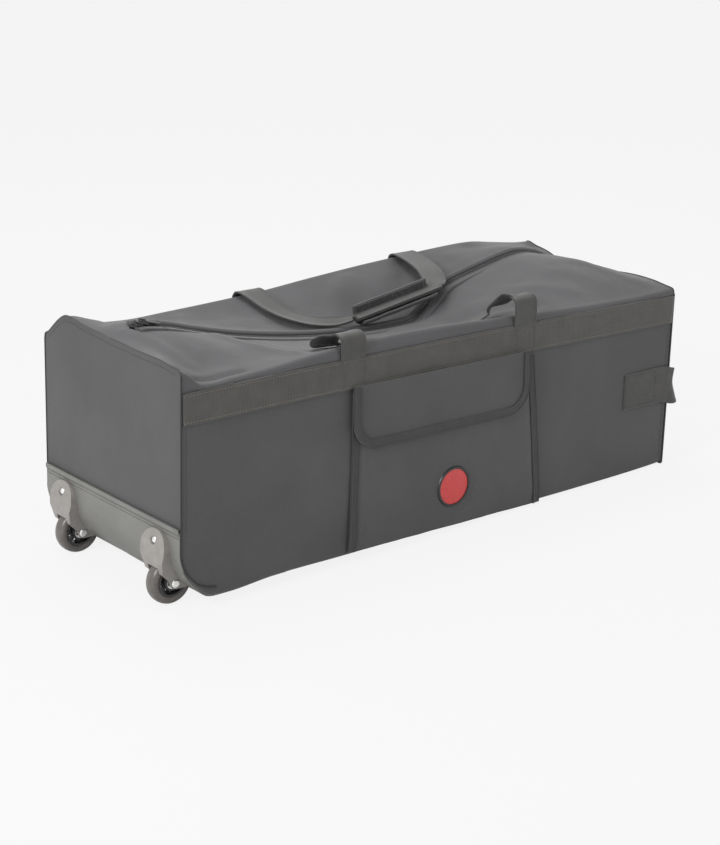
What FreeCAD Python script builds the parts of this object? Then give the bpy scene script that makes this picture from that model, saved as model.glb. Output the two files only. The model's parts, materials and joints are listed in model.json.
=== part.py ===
"""Wheeled kit duffel: a long soft-walled bag on two corner wheels, its top split by one long zip.

Every piece is drawn in the bag's own frame: x along the length with the wheels at -x, the pocket
side at -y, z up from the underside of the base.  The finished bag stands on its wheels at one end
and on its base at the other, so each piece gets the same small pitch when it is placed.
"""
import FreeCAD, Part
import math
import os
import Sketcher

DOC = FreeCAD.newDocument("wheeled_duffel")

# Driving sizes, millimetres and degrees.
SIZES = [
    ("bag_length", 1070),
    ("bag_width", 387),
    ("panel_wall", 4),
    ("corner_radius", 70),
    ("base_round", 3.5),
    ("panel_height", 321),
    ("seat_gap", 0.3),
    ("board_wall", 4),
    ("board_margin", 8),
    ("kick_wall", 2.5),
    ("kick_top", 102),
    ("kick_reach", 210),
    ("webbing_wall", 3),
    ("webbing_width", 50),
    ("piping_radius", 1.6),
    ("piping_break", 54),
    ("lid_half", 440),
    ("strip_rise", 25),
    ("shoulder", 14),
    ("valley_y", 120),
    ("lid_sag", 14),
    ("wheel_corner_front", 10),
    ("wheel_corner_back", 38),
    ("wheel_top_rise", 41),
    ("strap_top_rise", 17),
    ("zip_radius", 1695),
    ("zip_drop", 25.4),
    ("zip_mid", 40.8),
    ("zip_stop_offset", 4.5),
    ("slider_seat", 14),
    ("tape_half", 17),
    ("tape_wall", 2),
    ("coil_gap", 3),
    ("coil_width", 3),
    ("coil_rise", 1.2),
    ("slider_length", 24),
    ("slider_width", 14),
    ("slider_plate", 1.8),
    ("bridge_length", 14),
    ("bridge_rise", 4.4),
    ("pull_length", 34),
    ("pull_width", 10),
    ("pull_rod", 1.1),
    ("wheel_radius", 38),
    ("wheel_width", 24),
    ("wheel_track", 268),
    ("axle_out", 17),
    ("axle_up", 2),
    ("axle_radius", 4),
    ("running_clear", 0.04),
    ("bearing_radius", 11),
    ("bearing_width", 7),
    ("hub_radius", 25),
    ("hub_boss", 14),
    ("hub_rim", 22),
    ("hub_web", 8),
    ("spokes", 9),
    ("wheel_side_clear", 2.5),
    ("wheel_top_clear", 3.5),
    ("flank_wall", 5.5),
    ("housing_top", 92),
    ("housing_half", 32),
    ("housing_proud", 13),
    ("flange_wall", 4),
    ("well_wall", 3),
    ("rivet_height", 74),
    ("rivet_seat", 6.5),
    ("rivet_shank", 2.5),
    ("rivet_head", 6),
    ("rivet_dome", 3),
    ("pocket_left", -210),
    ("pocket_right_low", 217),
    ("pocket_right_high", 186),
    ("pocket_top", 262),
    ("pocket_foot", 10),
    ("pocket_depth", 8),
    ("pocket_cloth", 2),
    ("pocket_edge", 5),
    ("binding_width", 16),
    ("binding_wall", 1.5),
    ("flap_left", -211),
    ("flap_right", 171),
    ("flap_drop", 98),
    ("flap_wall", 3.3),
    ("flap_corner", 48),
    ("badge_x", 11),
    ("badge_z", 67),
    ("badge_radius", 36),
    ("badge_rim", 5),
    ("badge_rise", 2.4),
    ("grab_width", 66),
    ("grab_height", 158.5),
    ("grab_sewn", 115),
    ("grab_reach", 37),
    ("grab_droop", 17),
    ("front_loop_left", -209),
    ("front_loop_right", 164),
    ("front_loop_rise", 50),
    ("front_grip_y", 100),
    ("front_grip_rise", 2),
    ("turn_radius", 50),
    ("rear_loop_left", -135),
    ("rear_loop_right", 215),
    ("rear_loop_rise", 30),
    ("grip_y", 17),
    ("grip_drop", 1),
    ("grip_fold", 22),
    ("wrap_left", -43),
    ("wrap_length", 190),
    ("wrap_wall", 2.5),
    ("wrap_drop", 12),
    ("wrap_flap", 18),
    ("wrap_tilt", 6),
]

# Sizes worked out from the driving ones.
DERIVED = [
    ("half_length", "bag_length / 2"),
    ("half_width", "bag_width / 2"),
    ("band_low", "panel_height - webbing_width"),
    ("strip_top", "panel_height + strip_rise"),
    ("face_x", "half_length + kick_wall"),
    ("axle_x", "half_length - axle_out"),
    ("stand_pitch", "asin((wheel_radius - axle_up) / (half_length - base_round + axle_x)) / 1deg"),
    ("stand_lift", "(half_length - base_round) * sin(stand_pitch * 1deg)"),
    ("zip_low", "panel_height - zip_drop"),
    ("zip_centre", "zip_low + zip_radius"),
    ("zip_stop", "(lid_half + half_length) / 2 + zip_stop_offset"),
    ("slider_rest", "zip_stop - slider_seat"),
    ("front_grip_z", "panel_height + front_grip_rise"),
    ("grip_z", "panel_height - grip_drop"),
    ("coil_half", "coil_gap / 2"),
    ("well_radius", "wheel_radius + wheel_top_clear"),
    ("slot_half", "wheel_width / 2 + wheel_side_clear"),
    ("flank_half", "slot_half + flank_wall"),
    ("pocket_face", "half_width + pocket_depth"),
    ("hinge_out", "half_width + webbing_wall + seat_gap"),
]

SHEET = DOC.addObject("Spreadsheet::Sheet", "Sizes")
for row, (alias, number) in enumerate(SIZES, start=1):
    SHEET.set(f"A{row}", alias.replace("_", " "))
    SHEET.set(f"B{row}", str(number))
    SHEET.setAlias(f"B{row}", alias)
for row, (alias, rule) in enumerate(DERIVED, start=len(SIZES) + 1):
    SHEET.set(f"A{row}", alias.replace("_", " "))
    SHEET.set(f"B{row}", "=" + rule)
    SHEET.setAlias(f"B{row}", alias)
DOC.recompute()


class Measure:
    """A size together with the sheet expression that drives it."""

    def __init__(self, number, text):
        self.number = float(number)
        self.text = text

    def __add__(self, other):
        other = measure(other)
        return Measure(self.number + other.number, f"({self.text} + {other.text})")

    def __sub__(self, other):
        other = measure(other)
        return Measure(self.number - other.number, f"({self.text} - {other.text})")

    def __mul__(self, other):
        other = measure(other)
        return Measure(self.number * other.number, f"({self.text} * {other.text})")

    def __truediv__(self, other):
        other = measure(other)
        return Measure(self.number / other.number, f"({self.text} / {other.text})")

    def __neg__(self):
        return Measure(-self.number, f"(-1 * {self.text})")

    def root(self):
        return Measure(math.sqrt(self.number), f"sqrt({self.text})")


def measure(given):
    """A plain number or a Measure, as a Measure."""
    if isinstance(given, Measure):
        return given
    return Measure(given, f"({given})")


def size(alias):
    """The Measure of one cell of the sheet."""
    return Measure(SHEET.get(alias), f"Sizes.{alias}")


def number(alias):
    """The plain value of one cell of the sheet."""
    return float(SHEET.get(alias))


def drive(thing, attribute, given):
    """Ties an attribute to the sheet through its Measure."""
    thing.setExpression(attribute, measure(given).text)


PIECES = {}


def new_body(label):
    """An empty body that will be one named sub-part."""
    body = DOC.addObject("PartDesign::Body", label)
    body.Label = label
    body.AllowCompound = True
    PIECES[label] = body
    return body


def origin_feature(body, role):
    """The origin plane or axis of a body with the given role."""
    return [item for item in body.Origin.OriginFeatures if item.Role == role][0]


def new_sketch(body, name, plane, offset=0):
    """A sketch on one of the body's origin planes, moved along its normal."""
    sketch = body.newObject("Sketcher::SketchObject", name)
    sketch.AttachmentSupport = [(origin_feature(body, plane), "")]
    sketch.MapMode = "FlatFace"
    offset = measure(offset)
    sketch.AttachmentOffset = FreeCAD.Placement(FreeCAD.Vector(0, 0, offset.number), FreeCAD.Rotation())
    drive(sketch, ".AttachmentOffset.Base.z", offset)
    return sketch


def pin_point(sketch, geometry, end, across, up):
    """Holds one sketch point at driven coordinates."""
    for kind, given in (("DistanceX", across), ("DistanceY", up)):
        given = measure(given)
        constraint = Sketcher.Constraint(kind, -1, 1, geometry, end, given.number)
        index = sketch.addConstraint(constraint)
        sketch.setExpression(f"Constraints[{index}]", given.text)


def add_polygon(sketch, points):
    """A closed outline through driven points."""
    corners = [FreeCAD.Vector(measure(a).number, measure(b).number, 0) for a, b in points]
    first = sketch.GeometryCount
    count = len(points)
    for index in range(count):
        sketch.addGeometry(Part.LineSegment(corners[index], corners[(index + 1) % count]), False)
    for index in range(count):
        following = first + (index + 1) % count
        sketch.addConstraint(Sketcher.Constraint("Coincident", first + index, 2, following, 1))
    for index, (across, up) in enumerate(points):
        pin_point(sketch, first + index, 1, across, up)


def add_circle(sketch, across, up, radius):
    """A circle with a driven centre and radius."""
    radius = measure(radius)
    centre = FreeCAD.Vector(measure(across).number, measure(up).number, 0)
    geometry = sketch.addGeometry(Part.Circle(centre, FreeCAD.Vector(0, 0, 1), radius.number), False)
    pin_point(sketch, geometry, 3, across, up)
    index = sketch.addConstraint(Sketcher.Constraint("Radius", geometry, radius.number))
    sketch.setExpression(f"Constraints[{index}]", radius.text)


def pad(body, name, sketch, length, reverse=False, middle=False):
    feature = body.newObject("PartDesign::Pad", name)
    feature.Profile = sketch
    feature.SideType = "Symmetric" if middle else "One side"
    feature.Reversed = reverse
    drive(feature, "Length", length)
    return feature


def pocket(body, name, sketch, length, reverse=False, middle=False):
    feature = body.newObject("PartDesign::Pocket", name)
    feature.Profile = sketch
    feature.SideType = "Symmetric" if middle else "One side"
    feature.Reversed = reverse
    drive(feature, "Length", length)
    return feature


def revolve(body, name, sketch, axis, angle=360):
    """Turns a sketch about its own horizontal or vertical axis, evenly to both sides."""
    feature = body.newObject("PartDesign::Revolution", name)
    feature.Profile = sketch
    feature.ReferenceAxis = (sketch, [axis])
    feature.Midplane = True
    drive(feature, "Angle", angle)
    return feature


def edges_at(shape, x=None, y=None, z=None):
    """Names of the straight edges whose ends all lie at the given coordinates."""
    wanted = {"x": x, "y": y, "z": z}
    names = []
    for index, edge in enumerate(shape.Edges, start=1):
        near = True
        for axis, given in wanted.items():
            if given is None:
                continue
            target = measure(given).number
            near = near and all(abs(getattr(v.Point, axis) - target) < 0.05 for v in edge.Vertexes)
        if near and len(edge.Vertexes) == 2:
            names.append(f"Edge{index}")
    return names


def round_edges(body, name, base, places, radius):
    """Fillets the edges found at the given places of a feature."""
    DOC.recompute()
    names = []
    for place in places:
        names += edges_at(base.Shape, **place)
    feature = body.newObject("PartDesign::Fillet", name)
    feature.Base = (base, sorted(set(names)))
    feature.Radius = measure(radius).number
    drive(feature, "Radius", radius)
    return feature


def upright_plate(label, outline, y_low, depth):
    """A plate drawn in side view and as deep as given along +y from y_low."""
    body = new_body(label)
    sketch = new_sketch(body, label + "_outline", "XZ_Plane", -measure(y_low))
    add_polygon(sketch, outline)
    return body, pad(body, label + "_pad", sketch, depth, reverse=True)


def cross_plate(label, outline, x_low, depth):
    """A plate drawn in end view and as deep as given along +x from x_low."""
    body = new_body(label)
    sketch = new_sketch(body, label + "_outline", "YZ_Plane", x_low)
    add_polygon(sketch, outline)
    return body, pad(body, label + "_pad", sketch, depth)


def rectangle(left, right, low, high):
    return [(left, low), (right, low), (right, high), (left, high)]


def lofted(label, stations):
    """A body lofted straight through end-view outlines at the given x places."""
    body = new_body(label)
    sections = []
    for index, (place, outline) in enumerate(stations):
        sketch = new_sketch(body, f"{label}_section_{index}", "YZ_Plane", place)
        add_polygon(sketch, outline)
        sections.append(sketch)
    loft = body.newObject("PartDesign::AdditiveLoft", label + "_loft")
    loft.Profile = sections[0]
    loft.Sections = sections[1:]
    loft.Ruled = True
    return body, loft


half_length = size("half_length")
half_width = size("half_width")
wall = size("panel_wall")
clear = size("seat_gap")
corner = size("corner_radius")
panel_height = size("panel_height")
kick = size("kick_wall")
strap_wall = size("webbing_wall")
strap_width = size("webbing_width")
track_half = size("wheel_track") / 2
axle_x = -size("axle_x")
axle_z = size("axle_up")
face_x = -size("face_x")
turn_top = corner + wall


# ---- Shell of the bag ------------------------------------------------------------------------

def side_panel(label, y_low):
    """Front or back panel: rounded under the wheels, square at the other end."""
    outline = rectangle(-half_length, half_length, 0, panel_height)
    body, plate = upright_plate(label, outline, y_low, wall)
    plate = round_edges(body, label + "_corner", plate, [{"x": -half_length, "z": 0}], corner)
    round_edges(body, label + "_foot", plate, [{"x": half_length, "z": 0}], size("base_round"))


side_panel("front_panel", -half_width)
side_panel("back_panel", half_width - wall)
inner_half = half_width - wall


def base_panel():
    """Floor of the bag, turned up at the wheel end into the rounded corner."""
    outline = [
        (-half_length, turn_top),
        (-half_length, 0),
        (half_length, 0),
        (half_length, wall),
        (-half_length + wall, wall),
        (-half_length + wall, turn_top),
    ]
    body, plate = upright_plate("base_panel", outline, -inner_half, inner_half * 2)
    plate = round_edges(body, "base_outer", plate, [{"x": -half_length, "z": 0}], corner)
    plate = round_edges(body, "base_inner", plate, [{"x": -half_length + wall, "z": wall}], corner - wall)
    plate = round_edges(body, "base_foot", plate, [{"x": half_length, "z": 0}], size("base_round"))
    cut_wells(body)
    rivet_holes(body, -half_length, wall)


def cut_wells(body):
    """Openings for the two wheel wells, through whatever lies round the corner."""
    for side, place in (("front", -track_half), ("rear", track_half)):
        sketch = new_sketch(body, f"{body.Label}_{side}_well", "XZ_Plane", -place)
        add_circle(sketch, axle_x, axle_z, size("well_radius") + size("well_wall") + clear)
        width = (size("slot_half") + size("well_wall") + clear) * 2
        pocket(body, f"{body.Label}_{side}_cut", sketch, width, middle=True)


def rivet_holes(body, depth_from, depth):
    """A hole for the rivet above each wheel, drilled along x."""
    sketch = new_sketch(body, body.Label + "_rivet_holes", "YZ_Plane", depth_from)
    for place in (-track_half, track_half):
        add_circle(sketch, place, size("rivet_height"), size("rivet_shank") + clear / 2)
    pocket(body, body.Label + "_drill", sketch, depth, reverse=True)


base_panel()


def wheel_end_top(drop):
    """Crown of the wheel end from front to back, the given drop below the cloth over it."""
    rise = size("wheel_top_rise")
    return [
        (inner_half, panel_height + size("wheel_corner_back") / 2 - wall / 2 - drop),
        (half_width - size("shoulder") - wall, panel_height + size("wheel_corner_back") - drop),
        (size("valley_y"), panel_height + rise + wall - drop),
        (0, panel_height + rise - drop),
        (-size("valley_y"), panel_height + rise / 2 - drop),
        (-half_width + size("shoulder") + wall, panel_height + size("wheel_corner_front") - drop),
        (-inner_half, panel_height),
    ]


def wheel_end_panel():
    outline = [(-inner_half, turn_top), (inner_half, turn_top)] + wheel_end_top(wall + clear * 4)
    body, plate = cross_plate("wheel_end_panel", outline, -half_length, wall)
    rivet_holes(body, -half_length, wall)


wheel_end_panel()


def strap_end_top(drop):
    """Saddle of the strap end from front to back, the given drop below the cloth over it."""
    rise = size("strap_top_rise")
    return [
        (inner_half, panel_height + size("strip_rise") / 2 - wall / 2 - drop),
        (half_width - size("shoulder") - wall, panel_height + size("strip_rise") - drop - wall / 2),
        (size("valley_y"), panel_height + rise - wall - drop),
        (0, panel_height + rise - drop),
        (-size("valley_y"), panel_height + rise + wall - drop),
        (-half_width + size("shoulder") + wall, panel_height + size("strip_rise") - drop - wall / 2),
        (-inner_half, panel_height + size("strip_rise") / 2 - wall / 2 - drop),
    ]


def strap_end_panel():
    outline = [(-inner_half, wall), (inner_half, wall)] + strap_end_top(wall + clear * 4)
    cross_plate("strap_end_panel", outline, half_length - wall, wall)


strap_end_panel()


def stiffeners():
    """The loose board in the base and the board that the wheel housings are riveted to."""
    board = size("board_wall")
    margin = size("board_margin")
    reach = inner_half - margin
    outline = rectangle(-half_length + corner + margin, half_length - wall - margin, wall, wall + board)
    body, plate = upright_plate("base_board", outline, -reach, reach * 2)
    ends = [{"x": -half_length + corner + margin, "y": side} for side in (-reach, reach)]
    ends += [{"x": half_length - wall - margin, "y": side} for side in (-reach, reach)]
    round_edges(body, "base_board_corners", plate, ends, margin * 2)

    outline = rectangle(-reach, reach, corner, panel_height - margin * 3)
    body, plate = cross_plate("end_board", outline, -half_length + wall, board)
    tops = [{"y": side, "z": panel_height - margin * 3} for side in (-reach, reach)]
    round_edges(body, "end_board_corners", plate, tops, margin * 2)
    rivet_holes(body, -half_length + wall, board)


stiffeners()


def kick_plate():
    """Tough sheet over the lower wheel-end corner, from above the wheels to under the base."""
    reach = -half_length + size("kick_reach")
    outline = [
        (face_x, size("kick_top")),
        (face_x, -kick),
        (reach, -kick),
        (reach, 0),
        (-half_length, 0),
        (-half_length, size("kick_top")),
    ]
    body, plate = upright_plate("kick_plate", outline, -half_width, size("bag_width"))
    plate = round_edges(body, "kick_inner", plate, [{"x": -half_length, "z": 0}], corner)
    plate = round_edges(body, "kick_outer", plate, [{"x": face_x, "z": -kick}], corner + kick)
    cut_wells(body)
    rivet_holes(body, face_x, kick)


kick_plate()


def webbing_bands():
    """The sewn band of webbing along the front and along the back."""
    outline = rectangle(-half_length + strap_wall, half_length, size("band_low"), panel_height)
    upright_plate("front_band", outline, -half_width - strap_wall, strap_wall)
    upright_plate("back_band", outline, half_width, strap_wall)


webbing_bands()


def corner_piping():
    """The corded seams up the four vertical corners."""
    body = new_body("corner_piping")
    radius = size("piping_radius")
    out = radius * 0.7072
    above_loop = size("grab_height") + size("piping_break")
    for end, across, low in (("wheel", -half_length - out, size("kick_top")), ("strap", half_length + out, above_loop)):
        sketch = new_sketch(body, f"piping_{end}_outline", "XY_Plane", low + clear)
        for along in (-half_width - out, half_width + out):
            add_circle(sketch, across, along, radius)
        pad(body, f"piping_{end}_cords", sketch, size("band_low") - low - clear * 2)


corner_piping()


# ---- Pocket, flap and badge ------------------------------------------------------------------

pocket_face = -size("pocket_face")
pocket_left = size("pocket_left")
pocket_low = size("pocket_right_low")
pocket_high = size("pocket_right_high")


def pocket_pouch():
    """Flat outside pocket, open at the top under its flap."""
    foot = size("pocket_foot")
    edge = size("pocket_edge")
    top = size("pocket_top")
    outline = [(pocket_left, foot), (pocket_low, foot), (pocket_high, top), (pocket_left, top)]
    body, plate = upright_plate("pocket_pouch", outline, pocket_face, size("pocket_depth"))
    sketch = new_sketch(body, "pouch_room", "XZ_Plane", half_width)
    room = [
        (pocket_left + edge, foot + edge),
        (pocket_low - edge, foot + edge),
        (pocket_high - edge, top + edge),
        (pocket_left + edge, top + edge),
    ]
    add_polygon(sketch, room)
    pocket(body, "pouch_cut", sketch, size("pocket_depth") - size("pocket_cloth"), reverse=True)


pocket_pouch()


def pocket_bindings():
    """Tape sewn over the two side edges of the pocket."""
    width = size("binding_width")
    tape = size("binding_wall")
    foot = size("pocket_foot")
    top = size("pocket_top")
    left = rectangle(pocket_left, pocket_left + width, foot, top)
    right = [(pocket_low - width, foot), (pocket_low, foot), (pocket_high, top), (pocket_high - width, top)]
    upright_plate("pocket_binding_left", left, pocket_face - tape, tape)
    upright_plate("pocket_binding_right", right, pocket_face - tape, tape)


pocket_bindings()


def pocket_flap():
    """Flap with rounded lower corners and the tape bound round its free edge."""
    tape = size("binding_wall")
    width = size("binding_width")
    left = size("flap_left")
    right = size("flap_right")
    top = size("band_low") - clear
    low = top - size("flap_drop")
    curve = size("flap_corner")
    back = pocket_face - tape - clear
    body, plate = upright_plate("flap_panel", rectangle(left, right, low, top), back - size("flap_wall"),
                                size("flap_wall"))
    round_edges(body, "flap_curves", plate, [{"x": left, "z": low}, {"x": right, "z": low}], curve)

    outline = [
        (left, top),
        (left, low),
        (right, low),
        (right, top),
        (right - width, top),
        (right - width, low + width),
        (left + width, low + width),
        (left + width, top),
    ]
    face = back - size("flap_wall")
    body, plate = upright_plate("flap_binding", outline, face - tape / 2, tape / 2)
    plate = round_edges(body, "binding_outer", plate, [{"x": left, "z": low}, {"x": right, "z": low}], curve)
    inner = [{"x": left + width, "z": low + width}, {"x": right - width, "z": low + width}]
    round_edges(body, "binding_inner", plate, inner, curve - width)


pocket_flap()


def badge():
    """Plain round badge: a domed disc held in a raised rim."""
    rim = size("badge_rim")
    radius = size("badge_radius")
    rise = size("badge_rise")
    body = new_body("badge_rim")
    sketch = new_sketch(body, "badge_rim_outline", "XY_Plane")
    add_polygon(sketch, [(radius - rim, 0), (radius, 0), (radius - rim / 4, -rise), (radius - rim, -rise)])
    revolve(body, "badge_rim_turn", sketch, "V_Axis")
    body = new_body("badge_disc")
    sketch = new_sketch(body, "badge_disc_outline", "XY_Plane")
    profile = [(0, 0), (radius - rim, 0), (radius - rim, -rise / 2), (radius / 2, -rise * 0.9), (0, -rise)]
    add_polygon(sketch, profile)
    revolve(body, "badge_disc_turn", sketch, "V_Axis")


badge()


# ---- Top: two lids, fixed ends and the long zip ------------------------------------------------

def zip_height(place):
    """Height of the zip at a place along the bag, on its long shallow arc."""
    across = measure(place) - size("zip_mid")
    radius = size("zip_radius")
    return size("zip_centre") - (radius * radius - across * across).root()


def lid_section(place, side):
    """Outline of a lid in end view: upstand above the band, shoulder, sag, and edge at the zip."""
    rim = half_width
    foot = panel_height + clear
    top = size("strip_top")
    zip_top = zip_height(place) - size("tape_wall") / 2 - clear
    valley = (top + zip_top) / 2 - size("lid_sag")
    shoulder = size("shoulder")
    inner = size("tape_half") - strap_wall
    upper = [
        (rim, foot),
        (rim, top - shoulder / 2),
        (rim - shoulder / 2, top),
        (rim - shoulder, top),
        (size("valley_y"), valley),
        (size("tape_half") + clear * 2, zip_top),
        (inner, zip_top),
    ]
    lower = [
        (inner, zip_top - wall),
        (size("tape_half"), zip_top - wall),
        (size("valley_y"), valley - wall),
        (rim - shoulder - wall / 2, top - wall),
        (rim - wall, top - shoulder),
        (rim - wall, foot),
    ]
    return [(measure(a) * side, b) for a, b in upper + lower]


LID_STATIONS = 17


def lids():
    reach = size("lid_half")
    for label, side in (("front_lid", -1), ("rear_lid", 1)):
        stations = []
        for index in range(LID_STATIONS):
            share = 2 * index / (LID_STATIONS - 1) - 1
            place = reach * share
            stations.append((place, lid_section(place, side)))
        lofted(label, stations)


lids()


def end_section(place, crown, foot_front, foot_back):
    """Outline of the fixed top where it meets an end panel."""
    rim = half_width
    shoulder = size("shoulder")
    inner = size("tape_half") - strap_wall
    seat = size("tape_half") + clear * 2
    low = panel_height + clear
    valley = size("valley_y")
    upper = [
        (-rim, low),
        (-rim, low + foot_front / 2),
        (-rim + shoulder / 2, panel_height + foot_front),
        (-rim + shoulder, panel_height + foot_front),
        (-valley, crown[0]),
        (-seat, crown[1]),
        (-inner, crown[1]),
        (inner, crown[1]),
        (seat, crown[1]),
        (valley, crown[2]),
        (rim - shoulder, panel_height + foot_back),
        (rim - shoulder / 2, panel_height + foot_back),
        (rim, low + foot_back / 2),
        (rim, low),
    ]
    lower = [
        (rim - wall, low),
        (rim - wall, low + foot_back / 2 - wall / 2),
        (rim - shoulder - wall / 2, panel_height + foot_back - wall),
        (valley, crown[2] - wall),
        (size("tape_half"), crown[1] - wall),
        (inner, crown[1] - wall),
        (-inner, crown[1] - wall),
        (-size("tape_half"), crown[1] - wall),
        (-valley, crown[0] - wall),
        (-rim + shoulder + wall / 2, panel_height + foot_front - wall),
        (-rim + wall, low + foot_front / 2 - wall / 2),
        (-rim + wall, low),
    ]
    return upper + lower


def joined_section(place):
    """Outline of the fixed top at a place that still follows the zip."""
    front = lid_section(place, -1)
    rear = lid_section(place, 1)
    return front[:7] + rear[:7][::-1] + rear[7:][::-1] + front[7:]


def zip_slot(body, low, high):
    """Cuts the way of the slider's lower plate out of a fixed top."""
    reach = size("tape_half") - strap_wall - clear
    sketch = new_sketch(body, body.Label + "_slot", "XY_Plane", panel_height)
    add_polygon(sketch, rectangle(low, high, -reach, reach))
    pocket(body, body.Label + "_slot_cut", sketch, half_width, reverse=True)


def fixed_tops():
    """The sewn ends of the top, between the lids and the end panels."""
    start = size("lid_half") + clear * 2
    stop = size("zip_stop")
    middle = (start + stop) / 2
    rise = size("wheel_top_rise")
    crown = [panel_height + rise / 2, panel_height + rise, panel_height + rise + wall]
    wheel_end = end_section(-half_length, crown, size("wheel_corner_front"), size("wheel_corner_back"))
    stations = [
        (-start, joined_section(-start)),
        (-middle, joined_section(-middle)),
        (-stop, joined_section(-stop)),
        (-half_length, wheel_end),
    ]
    body, loft = lofted("wheel_end_top", stations)
    zip_slot(body, -stop, -start + wall)

    rise = size("strap_top_rise")
    crown = [panel_height + rise + wall, panel_height + rise, panel_height + rise - wall]
    strap_end = end_section(half_length, crown, size("strip_rise"), size("strip_rise"))
    stations = [
        (start, joined_section(start)),
        (middle, joined_section(middle)),
        (stop, joined_section(stop)),
        (half_length, strap_end),
    ]
    body, loft = lofted("strap_end_top", stations)
    zip_slot(body, start - wall, stop)


fixed_tops()


def arc_turn(place):
    """Angle along the zip arc of a place along the bag, positive towards the wheels."""
    return math.degrees(math.asin((number("zip_mid") - place) / number("zip_radius")))


def track_outline(side):
    """Section of one half of the zip: flat tape with the coil along its inner edge."""
    low = -size("zip_radius") - size("tape_wall") / 2
    top = low + size("tape_wall")
    inner = size("coil_half")
    bead = inner + size("coil_width")
    outline = [
        (inner, low),
        (size("tape_half"), low),
        (size("tape_half"), top),
        (bead, top),
        (bead, top + size("coil_rise") * 0.6),
        (bead - size("coil_width") / 4, top + size("coil_rise")),
        (inner + size("coil_width") / 4, top + size("coil_rise")),
        (inner, top + size("coil_rise") * 0.6),
    ]
    return [(measure(a) * side, b) for a, b in outline]


ARC_BODIES = {}


def arc_body(label, low, high):
    """A body turned along the zip arc between two places along the bag."""
    body = new_body(label)
    ARC_BODIES[label] = (arc_turn(low) + arc_turn(high)) / 2
    return body, arc_turn(low) - arc_turn(high)


def zip_tracks():
    reach = number("lid_half")
    for label, side in (("zip_track_front", -1), ("zip_track_rear", 1)):
        body, angle = arc_body(label, -reach, reach)
        sketch = new_sketch(body, label + "_outline", "YZ_Plane")
        add_polygon(sketch, track_outline(side))
        revolve(body, label + "_turn", sketch, "H_Axis", angle)


zip_tracks()


def zip_ends():
    """The last of the zip on the fixed tops: both halves, closed by a stop."""
    start = number("lid_half") + 2 * number("seat_gap")
    stop = number("zip_stop")
    for label, low, high in (("zip_end_wheel", -stop, -start), ("zip_end_strap", start, stop)):
        body, angle = arc_body(label, low, high)
        sketch = new_sketch(body, label + "_halves", "YZ_Plane")
        add_polygon(sketch, track_outline(-1))
        add_polygon(sketch, track_outline(1))
        revolve(body, label + "_turn", sketch, "H_Axis", angle)


zip_ends()


def zip_slider():
    """Slider: two plates joined by the wedge between the coils, side lips, and the pull's bridge."""
    body = new_body("zip_slider")
    mid = -size("zip_radius")
    tape_top = mid + size("tape_wall") / 2
    coil_top = tape_top + size("coil_rise")
    plate = size("slider_plate")
    half = size("slider_width") / 2
    long_half = size("slider_length") / 2
    upper = coil_top + clear
    lower = mid - size("tape_wall") / 2 - clear
    lip = plate * 0.8
    bridge = size("bridge_length") / 2

    sketch = new_sketch(body, "slider_upper_outline", "XY_Plane", upper)
    add_polygon(sketch, rectangle(-long_half, long_half, -half, half))
    top = pad(body, "slider_upper", sketch, plate)
    ends = [{"x": x, "y": y} for x in (-long_half, long_half) for y in (-half, half)]
    round_edges(body, "slider_upper_round", top, ends, half * 0.6)

    sketch = new_sketch(body, "slider_lower_outline", "XY_Plane", lower - plate)
    add_polygon(sketch, rectangle(-long_half * 0.9, long_half * 0.9, -half, half))
    pad(body, "slider_lower", sketch, plate)
    sketch = new_sketch(body, "slider_wedge_outline", "XY_Plane", lower - plate / 2)
    wedge = size("coil_half") - clear
    add_polygon(sketch, rectangle(-wedge * 3, wedge * 3, -wedge, wedge))
    pad(body, "slider_wedge", sketch, upper - lower + plate)

    sketch = new_sketch(body, "slider_lip_outline", "YZ_Plane", -long_half * 0.8)
    for side in (-1, 1):
        outline = rectangle(half - lip, half, tape_top + clear, upper + plate / 2)
        add_polygon(sketch, [(a * side, b) for a, b in outline])
    pad(body, "slider_lips", sketch, long_half * 1.6)

    sketch = new_sketch(body, "slider_bridge_outline", "XZ_Plane")
    rod = size("pull_rod")
    base = upper + plate
    tunnel_low = base + clear
    tunnel_high = tunnel_low + rod * 2 + clear * 2
    outline = [
        (-bridge, base - plate / 2),
        (-bridge * 0.55, base - plate / 2),
        (-bridge * 0.55, tunnel_high),
        (bridge * 0.55, tunnel_high),
        (bridge * 0.55, base - plate / 2),
        (bridge, base - plate / 2),
        (bridge * 0.8, tunnel_high + plate * 0.8),
        (-bridge * 0.8, tunnel_high + plate * 0.8),
    ]
    add_polygon(sketch, outline)
    pad(body, "slider_bridge", sketch, half * 0.5, middle=True)


zip_slider()


def pull_height():
    """Height of the pull's rod inside the slider's bridge, from the centre of the zip arc."""
    upper = -size("zip_radius") + size("tape_wall") / 2 + size("coil_rise") + clear
    return upper + size("slider_plate") + clear * 2 + size("pull_rod")


def zip_pull():
    """Pull tab: a rod through the bridge, two arms and a flat tab with a slot at its end."""
    body = new_body("zip_pull")
    rod = size("pull_rod")
    width = size("pull_width") / 2
    length = size("pull_length")
    room = size("bridge_length") * 0.6
    sketch = new_sketch(body, "pull_outline", "XY_Plane", -rod * 0.8)
    arm = rod * 1.4
    add_polygon(sketch, [
        (-rod, -width),
        (length, -width),
        (length, width),
        (-rod, width),
        (-rod, width - arm),
        (room, width - arm),
        (room, -width + arm),
        (-rod, -width + arm),
    ])
    tab = pad(body, "pull_tab", sketch, rod * 1.6)
    ends = [{"x": length, "y": side} for side in (-width, width)]
    round_edges(body, "pull_round", tab, ends, width * 0.7)
    sketch = new_sketch(body, "pull_rod_outline", "XZ_Plane")
    add_circle(sketch, 0, 0, rod)
    pad(body, "pull_rod_turn", sketch, width * 2, middle=True)


zip_pull()


# ---- Wheels, housings and axles -----------------------------------------------------------------

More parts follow.
